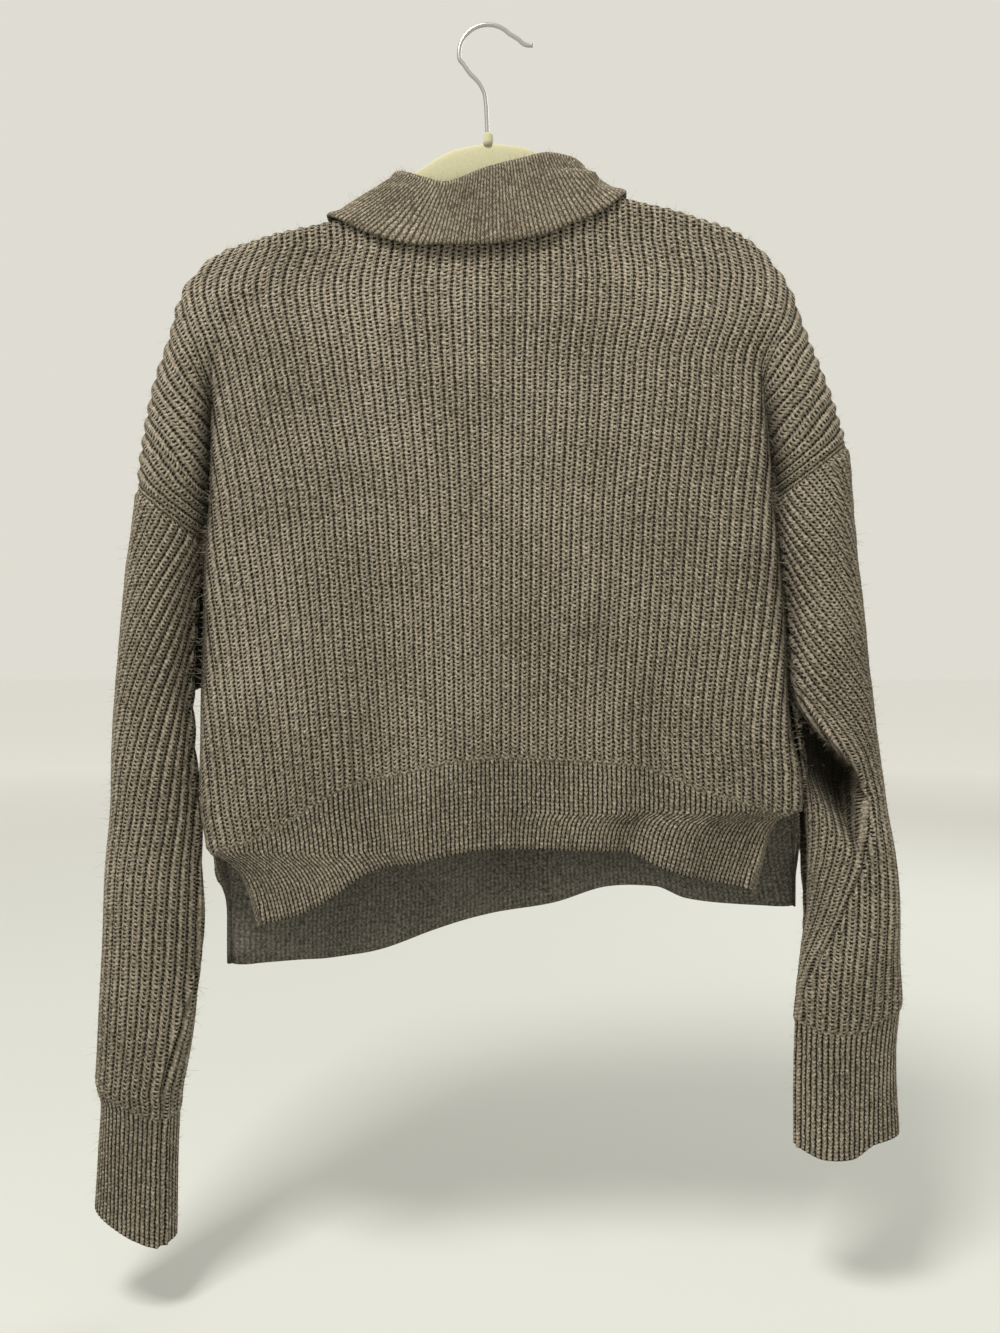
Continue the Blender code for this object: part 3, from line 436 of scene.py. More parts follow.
def make_mesh(name, points, four, three, values=None, merge=None):
    """Mesh object from millimetre points, quads and triangles.

    values are attributes with one row for each point, kept on face corners, so that they
    may jump at a seam. merge gives, for each point, the one that takes its place.
    """
    mesh = bpy.data.meshes.new(name)
    own = np.concatenate([four.ravel(), three.ravel()]).astype(np.int32)
    corners = own if merge is None else merge[own].astype(np.int32)
    if merge is not None:
        kept, corners = np.unique(corners, return_inverse=True)
        points, corners = points[kept], corners.astype(np.int32)
    sizes = np.concatenate([np.full(len(four), 4), np.full(len(three), 3)]).astype(np.int32)
    starts = np.concatenate([[0], np.cumsum(sizes)[:-1]]).astype(np.int32)
    mesh.vertices.add(len(points))
    mesh.vertices.foreach_set("co", (points * MM).astype(np.float32).ravel())
    mesh.loops.add(len(corners))
    mesh.loops.foreach_set("vertex_index", corners)
    mesh.polygons.add(len(sizes))
    mesh.polygons.foreach_set("loop_start", starts)
    mesh.polygons.foreach_set("use_smooth", np.ones(len(sizes), bool))
    mesh.update(calc_edges=True)
    for key, value in (values or {}).items():
        kind, part = ("FLOAT_VECTOR", "vector") if value.ndim == 2 else ("FLOAT", "value")
        layer = mesh.attributes.new(key, kind, "CORNER")
        layer.data.foreach_set(part, value[own].astype(np.float32).ravel())
    made = bpy.data.objects.new(name, mesh)
    bpy.context.scene.collection.objects.link(made)
    return made


def knitted_wall(name, outer, inner, outer_knit, inner_knit, closed, facing, shade=0.0):
    """Closed wall from an outer grid and an inner grid with every k-th row or column.

    In a closed wall the last column lies on the first, and becomes one with it. shade is
    painted shade: how far the outside's colour is darkened, 0 to 1, in creases too narrow for light.
    """
    n_outer = outer.shape[0] * outer.shape[1]
    a = np.arange(n_outer).reshape(outer.shape[:2])
    b = n_outer + np.arange(inner.shape[0] * inner.shape[1]).reshape(inner.shape[:2])
    merge = np.concatenate([a.ravel(), b.ravel()])
    if closed:
        merge[a[:, -1]], merge[b[:, -1]] = a[:, 0], b[:, 0]
    four = [quads(a), quads(b)[:, ::-1]]
    three = [zipped(a[0], b[0])[:, ::-1], zipped(a[-1], b[-1])]
    if not closed:
        three += [zipped(a[:, 0], b[:, 0]), zipped(a[:, -1], b[:, -1])[:, ::-1]]
    four, three = np.concatenate(four), np.concatenate(three)
    if facing < 0:
        four, three = four[:, ::-1], three[:, ::-1]
    points = np.concatenate([outer.reshape(-1, 3), inner.reshape(-1, 3)])
    knit = np.concatenate([outer_knit.reshape(-1, 3), inner_knit.reshape(-1, 3)])
    inside = np.concatenate([np.zeros(n_outer), np.ones(len(points) - n_outer)])
    # painted shade on the outside only; the inside gets none
    dark = np.concatenate([(shade + 0 * outer[:, :, 0]).ravel(), np.zeros(len(points) - n_outer)])
    values = {"knit": knit, "inside": inside, "shade": dark}
    made = make_mesh(name, points, four, three, values, merge)
    print(name, len(four) * 2 + len(three), "triangles")
    return made


# %% The relief of the ribs
RIB_RELIEF = 2.3
FINE_RELIEF = 0.8


def rib_height(wale, fine, seed):
    """Height of the ribs: |cos| of the rib number, doubled in number where fine is 1.

    Each rib is a little higher or lower than its neighbour.
    """
    number = np.round(wale)
    vary = 0.88 + 0.24 * (np.sin(number * 12.9898 + seed) * 43758.5453 % 1.0)
    chunky = RIB_RELIEF * vary * np.abs(np.cos(np.pi * wale)) ** 0.95
    thin = FINE_RELIEF * np.abs(np.cos(2 * np.pi * wale)) ** 0.8
    return chunky * (1 - fine) + thin * fine


def unevenness(x, z, seed):
    """Small soft waves, about 1 mm deep, that hand-hung knitwear shows everywhere."""
    return (
        0.42 * np.sin(x / 9.0 + 2.1 * np.sin(z / 47.0 + seed) + seed)
        + 0.36 * np.sin(x / 21.0 - z / 38.0 + 1.7 * seed)
        + 0.30 * np.sin(z / 17.0 + 1.9 * np.sin(x / 33.0) + 2.3 * seed)
    )


# %% [markdown]
# The back and the front share one function. Six points cross each rib, enough for its round
# top and the gap beside it. The last rows are close together, where the wall turns over
# into the shoulder seam.
# %% Back and front
COLUMNS_PER_WALE = 6
PANEL_ROWS = (66, 54, 48)  # rows from hem to arms, from there to the fold, and to the seam
INNER_EVERY = 3
# painted shade in the folds beside the shoulders and sleeves: how dark at most, and how wide
PAINTED_CREASE_DARKNESS, PAINTED_CREASE_WIDTH = 0.92, 6.5


def panel_rows():
    """Row values: even below the fold, then closer and closer to the shoulder seam."""
    low = np.arange(PANEL_ROWS[0]) / PANEL_ROWS[0]
    middle = 1 + np.arange(PANEL_ROWS[1]) / PANEL_ROWS[1]
    top = 3 - (1 - np.arange(PANEL_ROWS[2] + 1) / PANEL_ROWS[2]) ** 1.7
    return np.concatenate([low, middle, top])


def painted_crease_shade(grid):
    """Painted shade: how far the colour is darkened in the fold between the body and each shoulder or
    sleeve.
    """
    x, drop = grid[:, :, 0], -grid[:, :, 2]
    dark = np.zeros_like(x)
    for fold, edge, last in ((LEFT_FOLD, "left", 560), (RIGHT_FOLD, "right", 600)):
        side_x = fold("x", drop, "drop")
        side_x = np.where(drop < fold.values[-1, 2], side_x, BODY(edge, drop))
        part = ease((drop - 255) / 60) * (1 - ease((drop - last + 60) / 60))
        dark = np.maximum(dark, PAINTED_CREASE_DARKNESS * part * np.exp(-(((x - side_x) / PAINTED_CREASE_WIDTH) ** 2)))
    return dark


def panel(face):
    """One panel as a closed knitted wall."""
    sign = -1 if face == "back" else 1
    count = 2 * HALF_WALES * COLUMNS_PER_WALE
    wale = np.linspace(-HALF_WALES, HALF_WALES, count + 1)
    row = panel_rows()
    base = panel_surface(face, wale, row)
    normal = normals_of(base, sign)
    along = length_along(base)
    fine = 1 - ease((along - HEM_RIB + 3) / 6)
    slit_tops = np.where(wale < 0, LEFT_SLIT_TOP, RIGHT_SLIT_TOP)
    sewn_side = np.clip(HALF_WALES - np.abs(wale), 0, 1)[None, :]
    free = ease((-base[:, :, 2] - slit_tops[None, :]) / 10)
    taper = sewn_side * (1 - free) + free
    top_taper = ease((3 - row) / 0.06)[:, None] * np.ones(len(wale))[None, :]
    depth = np.abs(base[:, :, 1])
    taper = taper * top_taper * ease((depth - 2.5) / 6)
    relief = rib_height(wale[None, :] + 0 * along, fine, 1.0 if face == "back" else 2.0)
    relief = relief + unevenness(base[:, :, 0], base[:, :, 2], 0.6 if face == "back" else 3.1)
    outer = base + normal * (relief * taper)[:, :, None]
    SKINS.append((outer, normal))
    knit = np.stack([wale[None, :] + 0 * along, along / COURSE, fine], axis=2)
    pick = slice(None, None, INNER_EVERY)
    back_relief = rib_height(wale[None, :] + 0.5 + 0 * along, fine, 5.0)[pick] * 0.5
    wall = KNIT_WALL - 0.8 + back_relief * sewn_side
    inner = base[pick] - normal[pick] * wall[:, :, None]
    inner[:, :, 1] = sign * np.maximum(sign * inner[:, :, 1], 0.6)
    inner_knit = knit[pick] + (0.5, 0, 0)
    return knitted_wall(
        "knit_" + face, outer, inner, knit, inner_knit, False, -sign, painted_crease_shade(base)
    )


SKINS = []  # outer surface and normals of each knitted piece, for the loose fibres
knit_back = panel("back")
knit_front = panel("front")

# %% [markdown]
# ## Sleeves
# A sleeve is a tube whose section is an ellipse at each drop. Its ribs don't run straight
# down: a hanging sleeve twists, so the ribs lean across its upper half and meet at the
# underarm seam in a V. The twist is a table of turns by drop.
# %% Twist and seam of each sleeve
SLEEVE_WALES = 24
LEFT_TWIST = Table(
    "drop turn seam",
    (355, -0.08, 0.5), (404, 0.0, 0.5), (467, 0.13, 0.5), (525, 0.24, 0.5), (570, 0.30, 0.5),
    (615, 0.345, 0.5), (660, 0.38, 0.5), (717, 0.39, 0.5), (760, 0.39, 0.56), (820, 0.39, 0.61),
    (945, 0.39, 0.6),
)
RIGHT_TWIST = Table(
    "drop turn seam",
    (320, -0.16, 0.5), (371, 0.0, 0.5), (510, 0.49, 0.55), (541, 0.60, 0.62), (581, 0.69, 0.75),
    (606, 0.71, 0.8), (636, 0.71, 0.77), (674, 0.705, 0.69), (704, 0.70, 0.635),
    (749, 0.695, 0.54), (800, 0.69, 0.5), (875, 0.69, 0.5),
)


# How many ribs have run into the seam from its inner side, or come out of it.
LEFT_GATHER = Table("drop wales", (600, 0), (660, 0), (850, -3.0), (945, -3.0))
RIGHT_GATHER = Table("drop wales", (300, 0), (575, 0), (800, 6.0), (875, 6.0))


# %% Sleeve surface
SLEEVE_COLUMNS = 252
SLEEVE_ROWS = 300
INNER_COLUMNS_EVERY = 3
INNER_ROWS_EVERY = 6


def sleeve_surface(table, twist, seam, fold, cuff, columns, rows):
    """Points of a sleeve, the rib number, the share round from the seam, and the girth.

    The section is an ellipse at each drop. Columns start at the underarm seam, wherever it
    has turned to at that drop, and are even in length: for an ellipse with half axes a and
    b the angle is t + k/2 sin 2t, where k = (a^2 - b^2) / 2(a^2 + b^2). The rib number is
    the share of the way round, less the twist at that drop.
    """
    outward = -1 if seam is LEFT_SEAM else 1
    from_seam = np.linspace(0, 1, columns + 1)[None, :]
    along = (np.arange(rows + 1) / rows)[:, None]
    end_x, end_drop = fold.values[-1, 1], fold.values[-1, 2]
    start_x, start_drop = seam.values[-1, 1], seam.values[-1, 2]
    angle = 2 * math.pi * (from_seam + 0.5) + 0 * along
    top = np.full(angle.shape, end_drop)
    for _ in range(8):
        share = (1 - np.cos(angle)) / 2
        x = table("outer", top) + (table("inner", top) - table("outer", top)) * share
        part = np.clip((x - start_x) / (end_x - start_x), 0.0, 1.0)
        top = start_drop + (end_drop - start_drop) * part
        drop = top + 0.3 + (cuff("drop", share) - top - 0.3) * along
        outer, inner = table("outer", drop), table("inner", drop)
        middle, half = (outer + inner) / 2, np.abs(outer - inner) / 2
        deep = (table("back", drop) + table("front", drop)) / 2
        flat = (half**2 - deep**2) / (2 * (half**2 + deep**2))
        turn = 2 * math.pi * (from_seam + twist("seam", drop))
        angle = turn + flat / 2 * np.sin(2 * turn)
    deep = np.where(np.sin(angle) < 0, table("back", drop), table("front", drop))
    grid = np.stack([middle + outward * half * np.cos(angle), deep * np.sin(angle), -drop], axis=2)
    wale = SLEEVE_WALES * (from_seam + twist("seam", drop) - twist("turn", drop))
    girth = 2 * math.pi * np.sqrt((half**2 + deep**2) / 2)
    return grid, wale, from_seam, girth


# %% [markdown]
# The right sleeve is caught up at its elbow: its upper part hangs over a hollow beside the
# body, and the lip of that fold runs out to the underarm seam. Behind both sleeves the
# front half of the cloth reaches in to the body, which closes the gap beside it. That cloth
# and the hollow are darkened nearly to black with painted shade.
# %% The lip at the right elbow, and the cloth behind the gaps
ELBOW_LIP = Table(
    "x drop",
    (222, 470), (228, 488), (231.5, 499), (239, 527), (247, 545), (256, 555), (266, 566),
    (281, 582), (290, 594),
)
HOLLOW = 11.0  # depth to which the cloth inside the lip sinks
LEFT_REACH = Table("drop mm", (395, 0), (425, 18), (480, 23), (509, 23), (519, 0), (530, 0))
RIGHT_REACH = Table(
    "drop mm",
    (400, 0), (480, 10), (530, 18), (600, 18), (640, 12), (700, 9), (730, 2), (745, 0),
)


def below_lip(grid):
    """Distance below the lip's line, square to it, and 1 where the lip is."""
    x, drop = grid[:, :, 0], -grid[:, :, 2]
    here = ease((x - 222) / 8) * (1 - ease((x - 276) / 12)) * (grid[:, :, 1] < 0)
    return (drop - ELBOW_LIP("drop", x)) * 0.72, here


def elbow(grid):
    """Sinks the cloth below the lip, and carries the lip over it.

    s is the distance below the lip. The cloth sinks over the first 5 mm of s and comes back
    between 16 and 52 mm. The lip itself swells out, and what sinks moves in under it.
    """
    x, y, drop = grid[:, :, 0], grid[:, :, 1], -grid[:, :, 2]
    s, here = below_lip(grid)
    sink = ease(s / 5.0) * (1 - ease((s - 16) / 36)) * here
    swell = np.exp(-(((s + 7) / 7.0) ** 2)) * here
    under = ease(s / 3.0) * (1 - ease((s - 4) / 9)) * here
    floor_depth = HOLLOW * ease((x - 238) / 16)
    out = grid.copy()
    out[:, :, 0] = x + 5.0 * under
    out[:, :, 1] = y + np.maximum(floor_depth - y, 0) * sink * 0.95 - 3.5 * swell
    out[:, :, 2] = -drop + 4.0 * under
    return out


def reach_in(grid, side, table):
    """Moves the front half of a sleeve towards the body by the table's amount."""
    drop = -grid[:, :, 2]
    amount = table("mm", np.clip(drop, table.values[0, 0], table.values[-1, 0]))
    out = grid.copy()
    out[:, :, 0] -= side * amount * ease((grid[:, :, 1] - 10) / 12) * (drop < table.values[-1, 0])
    return out


def sleeve(name, side):
    """One sleeve as a closed tube wall, open at both ends."""
    *tables, gathered, reach = {
        -1: (LEFT_SLEEVE, LEFT_TWIST, LEFT_SEAM, LEFT_FOLD, LEFT_CUFF, LEFT_GATHER, LEFT_REACH),
        1: (
            RIGHT_SLEEVE, RIGHT_TWIST, RIGHT_SEAM, RIGHT_FOLD, RIGHT_CUFF, RIGHT_GATHER, RIGHT_REACH,
        ),
    }[side]
    base, wale, from_seam, girth = sleeve_surface(*tables, SLEEVE_COLUMNS, SLEEVE_ROWS)
    base = reach_in(base, side, reach)
    # painted shade: the cloth reaching in behind the gap beside the body is darkened nearly to black,
    # along with the crease
    shade_behind = ease((base[:, :, 1] + 4) / 12) * ease(reach("mm", -base[:, :, 2]) / 12)
    dark = np.maximum(painted_crease_shade(base), 0.9 * shade_behind * (np.abs(base[:, :, 0]) < 262))
    plain = 1.0
    if side > 0:
        s, here = below_lip(base)
        plain = 1 - 0.85 * here * ease((s + 7) / 7) * (1 - ease((s - 22) / 18))
        # painted shade: the hollow under the lip is darkened nearly to black
        dark = np.maximum(dark, 0.97 * here * ease((s + 1) / 4) * (1 - ease((s - 14) / 34)))
        base = elbow(base)
    wale = wale + gathered("wales", -base[:, :, 2]) * ease((from_seam - 0.42) / 0.55)
    wrapped = np.concatenate([base[:, -2:-1], base, base[:, 1:2]], axis=1)
    normal = normals_of(wrapped, side)[:, 1:-1]
    # the painted shade is kept off the faces that turn towards +Y
    dark = dark * (1 - ease((normal[:, :, 1] + 0.25) / 0.5))
    from_top = length_along(base)
    along = from_top[-1] - from_top
    fine = 1 - ease((along - CUFF_RIB + 3) / 6)
    height = rib_height(wale, fine, 3.0 + side)
    seam_gap = np.minimum(from_seam, 1 - from_seam) * girth
    height = height * ease(seam_gap / 2.2) + 2.4 * np.exp(-(((seam_gap - 3.6) / 2.0) ** 2))
    height = height + unevenness(base[:, :, 0] * 1.2, base[:, :, 2], 1.1 + side)
    height = height * ease(from_top / 6 + 0.1) * plain
    outer = base + normal * height[:, :, None]
    SKINS.append((outer, normal))
    knit = np.stack([wale, along / COURSE, fine], axis=2)
    rows, cols = slice(None, None, INNER_ROWS_EVERY), slice(None, None, INNER_COLUMNS_EVERY)
    inner = (base - normal * (KNIT_WALL - 0.6))[rows, cols]
    return knitted_wall(name, outer, inner, knit, knit[rows, cols], True, -side, dark)


knit_sleeve_left = sleeve("knit_sleeve_left", -1)
knit_sleeve_right = sleeve("knit_sleeve_right", 1)

# %% [markdown]
# ## The collar
# The collar is a fine rib band, sewn round the neck, that stands up a little, folds over and
# falls outside the sweater. Each station round the neck has the point it is sewn at, the
# top of its fold and the free edge of its fall. The wall is swept through those stations.
# %% Collar sizes
COLLAR = Table(
    "share wale fold_x fold_y fold_drop edge_x edge_y edge_drop",
    (0.00, -0.6, -3, 21, 184, -34, 24, 240), (0.12, -3.8, -31, 21, 168, -74, 22, 218),
    (0.22, -6.8, -55, 16, 142, -105, 15, 184), (0.27, -8.4, -68, 8.5, 121, -122, 8, 158),
    (0.30, -9.0, -71, 1, 116, -125, 1, 150.5), (0.34, -8.4, -67, -8.5, 118, -115, -12, 156),
    (0.40, -6.2, -50, -16.5, 126, -90, -17, 168), (0.46, -4.2, -33, -19.5, 131, -50, -20, 178),
    (0.54, -1.0, -3, -20, 121, -8, -20, 178), (0.62, 2.4, 28, -18.5, 112, 36, -20, 172),
    (0.68, 5.2, 47, -15.0, 107, 66, -17, 161), (0.73, 7.8, 64, -8.5, 107.5, 98, -10, 143),
    (0.76, 9.0, 73, 1, 111, 108, 1, 132.5), (0.79, 8.4, 69, 9.5, 115, 110, 8, 141),
    (0.84, 6.8, 57, 16, 131, 105, 15, 168), (0.92, 3.5, 33, 21, 162, 78, 22, 206),
    (1.00, 0.6, 13, 21, 182, 40, 24, 236),
)
COLLAR_WALL = 2.4
FOLD_RADIUS = 3.6
NECK_REACH = 7.0
COLLAR_CLEAR = 5.0  # from the middle of the fall to the middle surface below it
COLLAR_STATIONS = 840
COLLAR_KEPT = 838  # of these, a whole number of threes and one more
COLLAR_RELIEF = 0.45
COLLAR_RIBS = 84  # pairs of fine ribs along its fold
COLLAR_LEAN = Table("share lean", (0.0, 0.0), (0.3, 0.02), (0.5, 0.0), (0.7, -0.02), (1.0, 0.0))


def clear_depth(front, x, drop):
    """Least half depth that keeps the collar's fall outside a panel at x and drop."""
    left, right = LEFT_SEAM, RIGHT_SEAM
    over_left = smooth_curve(left.column("x")[::-1], left.column("drop")[::-1], x)
    over_right = right("drop", x, "x")
    seam_drop = np.where(x < MIDDLE_X, over_left, over_right)
    reach_x = np.where(x < MIDDLE_X, MIDDLE_X - left.values[0, 1], right.values[0, 1] - MIDDLE_X)
    share = (x - MIDDLE_X) / reach_x
    beyond = np.abs(share) > 1
    top = seam_drop - COLLAR_CLEAR - np.where(beyond, 0, NECK_REACH)
    knit = np.where(front, panel_depth("front", x, drop, 0), panel_depth("back", x, drop, 0))
    neck = np.where(front, neck_depth("front", share), neck_depth("back", share))
    deep = np.maximum(knit, neck) + COLLAR_CLEAR
    reach = np.where(beyond, SHOULDER_ROUND + COLLAR_CLEAR, NECK_REACH)
    return np.where(drop > top, deep * rounded((drop - top) / reach), 0.0)


def blurred(values, width):
    """Running mean along the first axis, with the ends repeated."""
    padded = np.concatenate([values[:1].repeat(width, 0), values, values[-1:].repeat(width, 0)])
    total = np.cumsum(np.concatenate([padded[:1] * 0, padded]), axis=0)
    return (total[2 * width + 1 :] - total[: -2 * width - 1]) / (2 * width + 1)


def collar_surface(stations, fall_rows):
    """Middle surface (stations, rows, 3): seam, stand, a half circle of fold, and fall."""
    share = np.linspace(0, 1, stations)
    front = (share < 0.3) | (share > 0.76)
    wale = COLLAR("wale", share)
    places = [neck_edge(face, wale) for face in ("front", "back")]
    x, depth, drop = [np.where(front, a, b) for a, b in zip(*places)]
    sign = np.where(front, 1.0, -1.0)
    above = COLLAR_WALL - drop
    seam = blurred(np.stack([x, sign * np.maximum(depth - KNIT_WALL / 2, 0), above], axis=1), 6)
    fold, edge = (
        np.stack([COLLAR(part + name, share) for name in ("_x", "_y", "_drop")], 1) * (1, 1, -1)
        for part in ("fold", "edge")
    )
    ahead = np.gradient(fold, axis=0)
    out = np.stack([ahead[:, 1], -ahead[:, 0], 0 * share], axis=1)
    toward = np.sum(out * (fold - (MIDDLE_X, 0, 0)), axis=1)
    out *= (np.sign(toward) / np.linalg.norm(out, axis=1))[:, None]
    out = blurred(out, 10)
    turn = np.radians(np.linspace(180, 0, 11))
    centre = fold - (0, 0, FOLD_RADIUS)
    over = centre[:, None] + FOLD_RADIUS * circle(out, np.array((0, 0, 1.0)), turn)
    stand_part = np.linspace(0, 1, 7)[:-1][None, :, None]
    stand = seam[:, None] * (1 - stand_part) + over[:, :1] * stand_part
    fall_part = np.linspace(0, 1, fall_rows + 1)[1:][None, :, None]
    fall = over[:, -1:] * (1 - fall_part) + edge[:, None] * fall_part
    side = fall[:, :, 1] > 0
    least = blurred(clear_depth(side, fall[:, :, 0], -fall[:, :, 2]), 8)
    way = np.where(np.abs(fall[:, :, 1]) < 0.5, sign[:, None], np.sign(fall[:, :, 1]))
    fall[:, :, 1] = np.where(np.abs(fall[:, :, 1]) < least, way * least, fall[:, :, 1])
    line = np.concatenate([stand, over, fall], axis=1)
    return share, blurred(line, 4)


def collar():
    """The turned-down collar as a closed wall with fine ribs outside and in."""
    share, middle = collar_surface(COLLAR_STATIONS, 26)
    across, along = np.gradient(middle, axis=0), np.gradient(middle, axis=1)
    normal = blurred(unit(np.cross(along, across)), 3)
    down = length_along(middle.transpose(1, 0, 2)).T
    fold_line = length_along(middle[:, 11][:, None])[:, 0]
    wale = COLLAR_RIBS * (fold_line / fold_line[-1])[:, None] + 0 * down
    wale = wale + COLLAR_LEAN("lean", share)[:, None] * np.maximum(down - down[:, 11:12], 0)
    height = COLLAR_RELIEF * np.abs(np.cos(2 * np.pi * wale)) ** 0.8
    height = height + 0.35 * unevenness(middle[:, :, 0], middle[:, :, 2], 2.0)
    end_taper = np.minimum(share, 1 - share)[:, None] / 0.006
    half = COLLAR_WALL / 2 * np.clip(0.35 + end_taper, 0, 1)
    edge_taper = np.clip((down[:, -1:] - down) / 2.2, 0, 1) ** 0.5 * 0.6 + 0.4
    outer = middle + normal * (half * edge_taper + height * edge_taper)[:, :, None]
    inner = middle - normal * (half * edge_taper + 0.4 * height)[:, :, None]
    SKINS.append((outer, normal))
    knit = np.stack([wale, down / COURSE, 1 + 0 * down], axis=2)
    outer, inner, knit = (
        grid.transpose(1, 0, 2)[:, :COLLAR_KEPT] for grid in (outer, inner, knit)
    )
    pick = (slice(None), slice(None, None, 3))
    return knitted_wall("knit_collar", outer, inner[pick], knit, knit[pick], False, -1)


knit_collar = collar()

# %% [markdown]
# ## Loose fibres
# Wool is hairy: short fibres stand out of the yarn everywhere. Each one is a thin spike with
# three sides that bends as it rises from a random place on the knit.
# %% Loose fibres
FIBRES = {"back": 3300, "front": 1800, "left": 1800, "right": 1800, "collar": 800}
FIBRE_RADIUS = 0.13
FIBRE_STEPS = 3
TRIES = 8  # places drawn for each fibre: most are kept where the knit turns edgewise


def fibres(name, skins, counts, rng):
    """Bent spikes: p(t) = root + L (n t + d t^2), with a radius that falls to 0 at t = 1."""
    roots, normals = [], []
    for (skin, normal), count in zip(skins, counts):
        rows = rng.integers(2, skin.shape[0] - 2, TRIES * count)
        cols = rng.integers(1, skin.shape[1] - 1, TRIES * count)
        edgewise = 0.12 + (1 - np.abs(normal[rows, cols, 1])) ** 1.5
        chosen = np.argsort(rng.random(TRIES * count) / edgewise)[:count]
        rows, cols = rows[chosen], cols[chosen]
        roots.append(skin[rows, cols])
        normals.append(normal[rows, cols])
    root, out = np.concatenate(roots), np.concatenate(normals)
    count = len(root)
    drift = np.clip(rng.normal(0, 1.0, (count, 3)), -1.3, 1.3)
    length = 1.6 + 5.0 * rng.random(count) ** 2.4
    t = np.linspace(0, 1, FIBRE_STEPS + 1)[None, :, None]
    reach = length[:, None, None]
    lean = 0.45 * drift[:, None]
    path = root[:, None] + reach * ((out[:, None] * 0.8 + lean) * t + 0.55 * drift[::-1][:, None] * t**2)
    beside = unit(np.cross(out, drift))
    ring = circle(beside, np.cross(out, beside), np.arange(3) * 2 * np.pi / 3)
    radius = FIBRE_RADIUS * (1 - np.linspace(0, 1, FIBRE_STEPS + 1)[:-1]) ** 0.5
    sides = path[:, :-1, None] + ring[:, None] * radius[None, :, None, None]
    points = np.concatenate([sides.reshape(count, -1, 3), path[:, -1:]], axis=1)
    per = FIBRE_STEPS * 3 + 1
    first = np.arange(count)[:, None, None] * per
    step = 3 * np.arange(FIBRE_STEPS - 1)[:, None]
    here, then = np.arange(3)[None, :], (np.arange(3)[None, :] + 1) % 3
    walls = np.stack([step + here, step + then, step + 3 + then, step + 3 + here], axis=-1)
    walls = (walls.reshape(1, -1, 4) + first).reshape(-1, 4)
    last = 3 * (FIBRE_STEPS - 1)
    tip = np.stack([last + here[0], last + then[0], np.full(3, per - 1)], axis=-1)
    foot = np.array([[2, 1, 0]])
    ends = (np.concatenate([tip, foot]).reshape(1, -1, 3) + first).reshape(-1, 3)
    return make_mesh(name, points.reshape(-1, 3), walls, ends)


rng = np.random.default_rng(7)
loose_fibres = fibres("loose_fibres", SKINS, list(FIBRES.values()), rng)
print("loose_fibres", len(loose_fibres.data.polygons), "faces")

# %% [markdown]
# ## Hanger and hook
# The hanger is a slim flocked one: a flat bar with a rounded edge, swept along its top line.
# Its wire hook is a round rod along a bend.
# %% Hanger and hook
HANGER_TOP = Table(
    "x drop",
    (0, 91), (25, 95), (50, 107), (64, 118), (72, 133), (78, 143), (94, 149.5), (120, 157),
    (150, 166), (180, 178), (209, 197),
)
HANGER_THICK, HANGER_DEEP = 5.5, 26.0
HANGER_TILT = math.radians(2.5)
HOOK_WIRE, HOOK_RADIUS = 1.65, 22.6


def hanger_bar():
    """Superellipse |y/a|^2.6 + |z/b|^2.6 = 1 swept along the hanger's top line."""
    x = np.linspace(-209, 209, 181)
    top = HANGER_TOP("drop", np.abs(x))
    deep = HANGER_DEEP * (0.42 + 0.58 * np.sqrt(1 - (np.abs(x) / 212) ** 8))
    angle = np.arange(28) * 2 * np.pi / 28
    power = 2 / 3.4
    across = np.sign(np.cos(angle)) * np.abs(np.cos(angle)) ** power
    upward = np.sign(np.sin(angle)) * np.abs(np.sin(angle)) ** power
    shrink = np.clip(1.02 - (np.abs(x) / 209) ** 60, 0.05, 1)
    y = HANGER_THICK / 2 * across[None, :] * shrink[:, None]
    z = -(top + deep / 2)[:, None] + (deep / 2 * shrink)[:, None] * upward[None, :]
    grid = np.stack([x[:, None] + 0 * y, y, z], axis=2)
    c, s = math.cos(HANGER_TILT), math.sin(HANGER_TILT)
    turn = np.array(((c, 0, -s), (0, 1, 0), (s, 0, c)))
    pivot = np.array((0, 0, -91.0))
    return (grid - pivot) @ turn.T + pivot


def tube(path, radius, sides):
    """Rings of `sides` points around a path in the XZ plane, of one radius or one each."""
    beside = np.array((0, 1.0, 0))
    up = np.cross(unit(np.gradient(path, axis=0)), beside)
    radius = np.broadcast_to(radius, len(path))[:, None, None]
    return path[:, None] + radius * circle(up, beside, np.arange(sides) * 2 * np.pi / sides)


def capped(name, grid, flip):
    """Mesh of a closed tube grid with a fan of triangles on each end."""
    rings, sides = grid.shape[:2]
    index = np.arange(rings * sides).reshape(rings, sides)
    index = np.hstack([index, index[:, :1]])
    points = np.concatenate([grid.reshape(-1, 3), grid[0].mean(0)[None], grid[-1].mean(0)[None]])
    first = np.stack([index[0, 1:], index[0, :-1], np.full(sides, rings * sides)], axis=1)
    last = np.stack([index[-1, :-1], index[-1, 1:], np.full(sides, rings * sides + 1)], axis=1)
    four, three = quads(index), np.concatenate([first, last])
    if flip:
        four, three = four[:, ::-1], three[:, ::-1]
    return make_mesh(name, points, four, three)


hanger_arms = capped("flocked_hanger", hanger_bar(), True)
boss_drop = np.array([83.7, 84.0, 84.6, 86, 90, 94])
boss_path = np.stack([0 * boss_drop, 0 * boss_drop, -boss_drop], axis=1)
hanger_boss = capped("hanger_boss", tube(boss_path, np.array([3.0, 3.6, 3.9, 4, 4, 4]), 24), False)

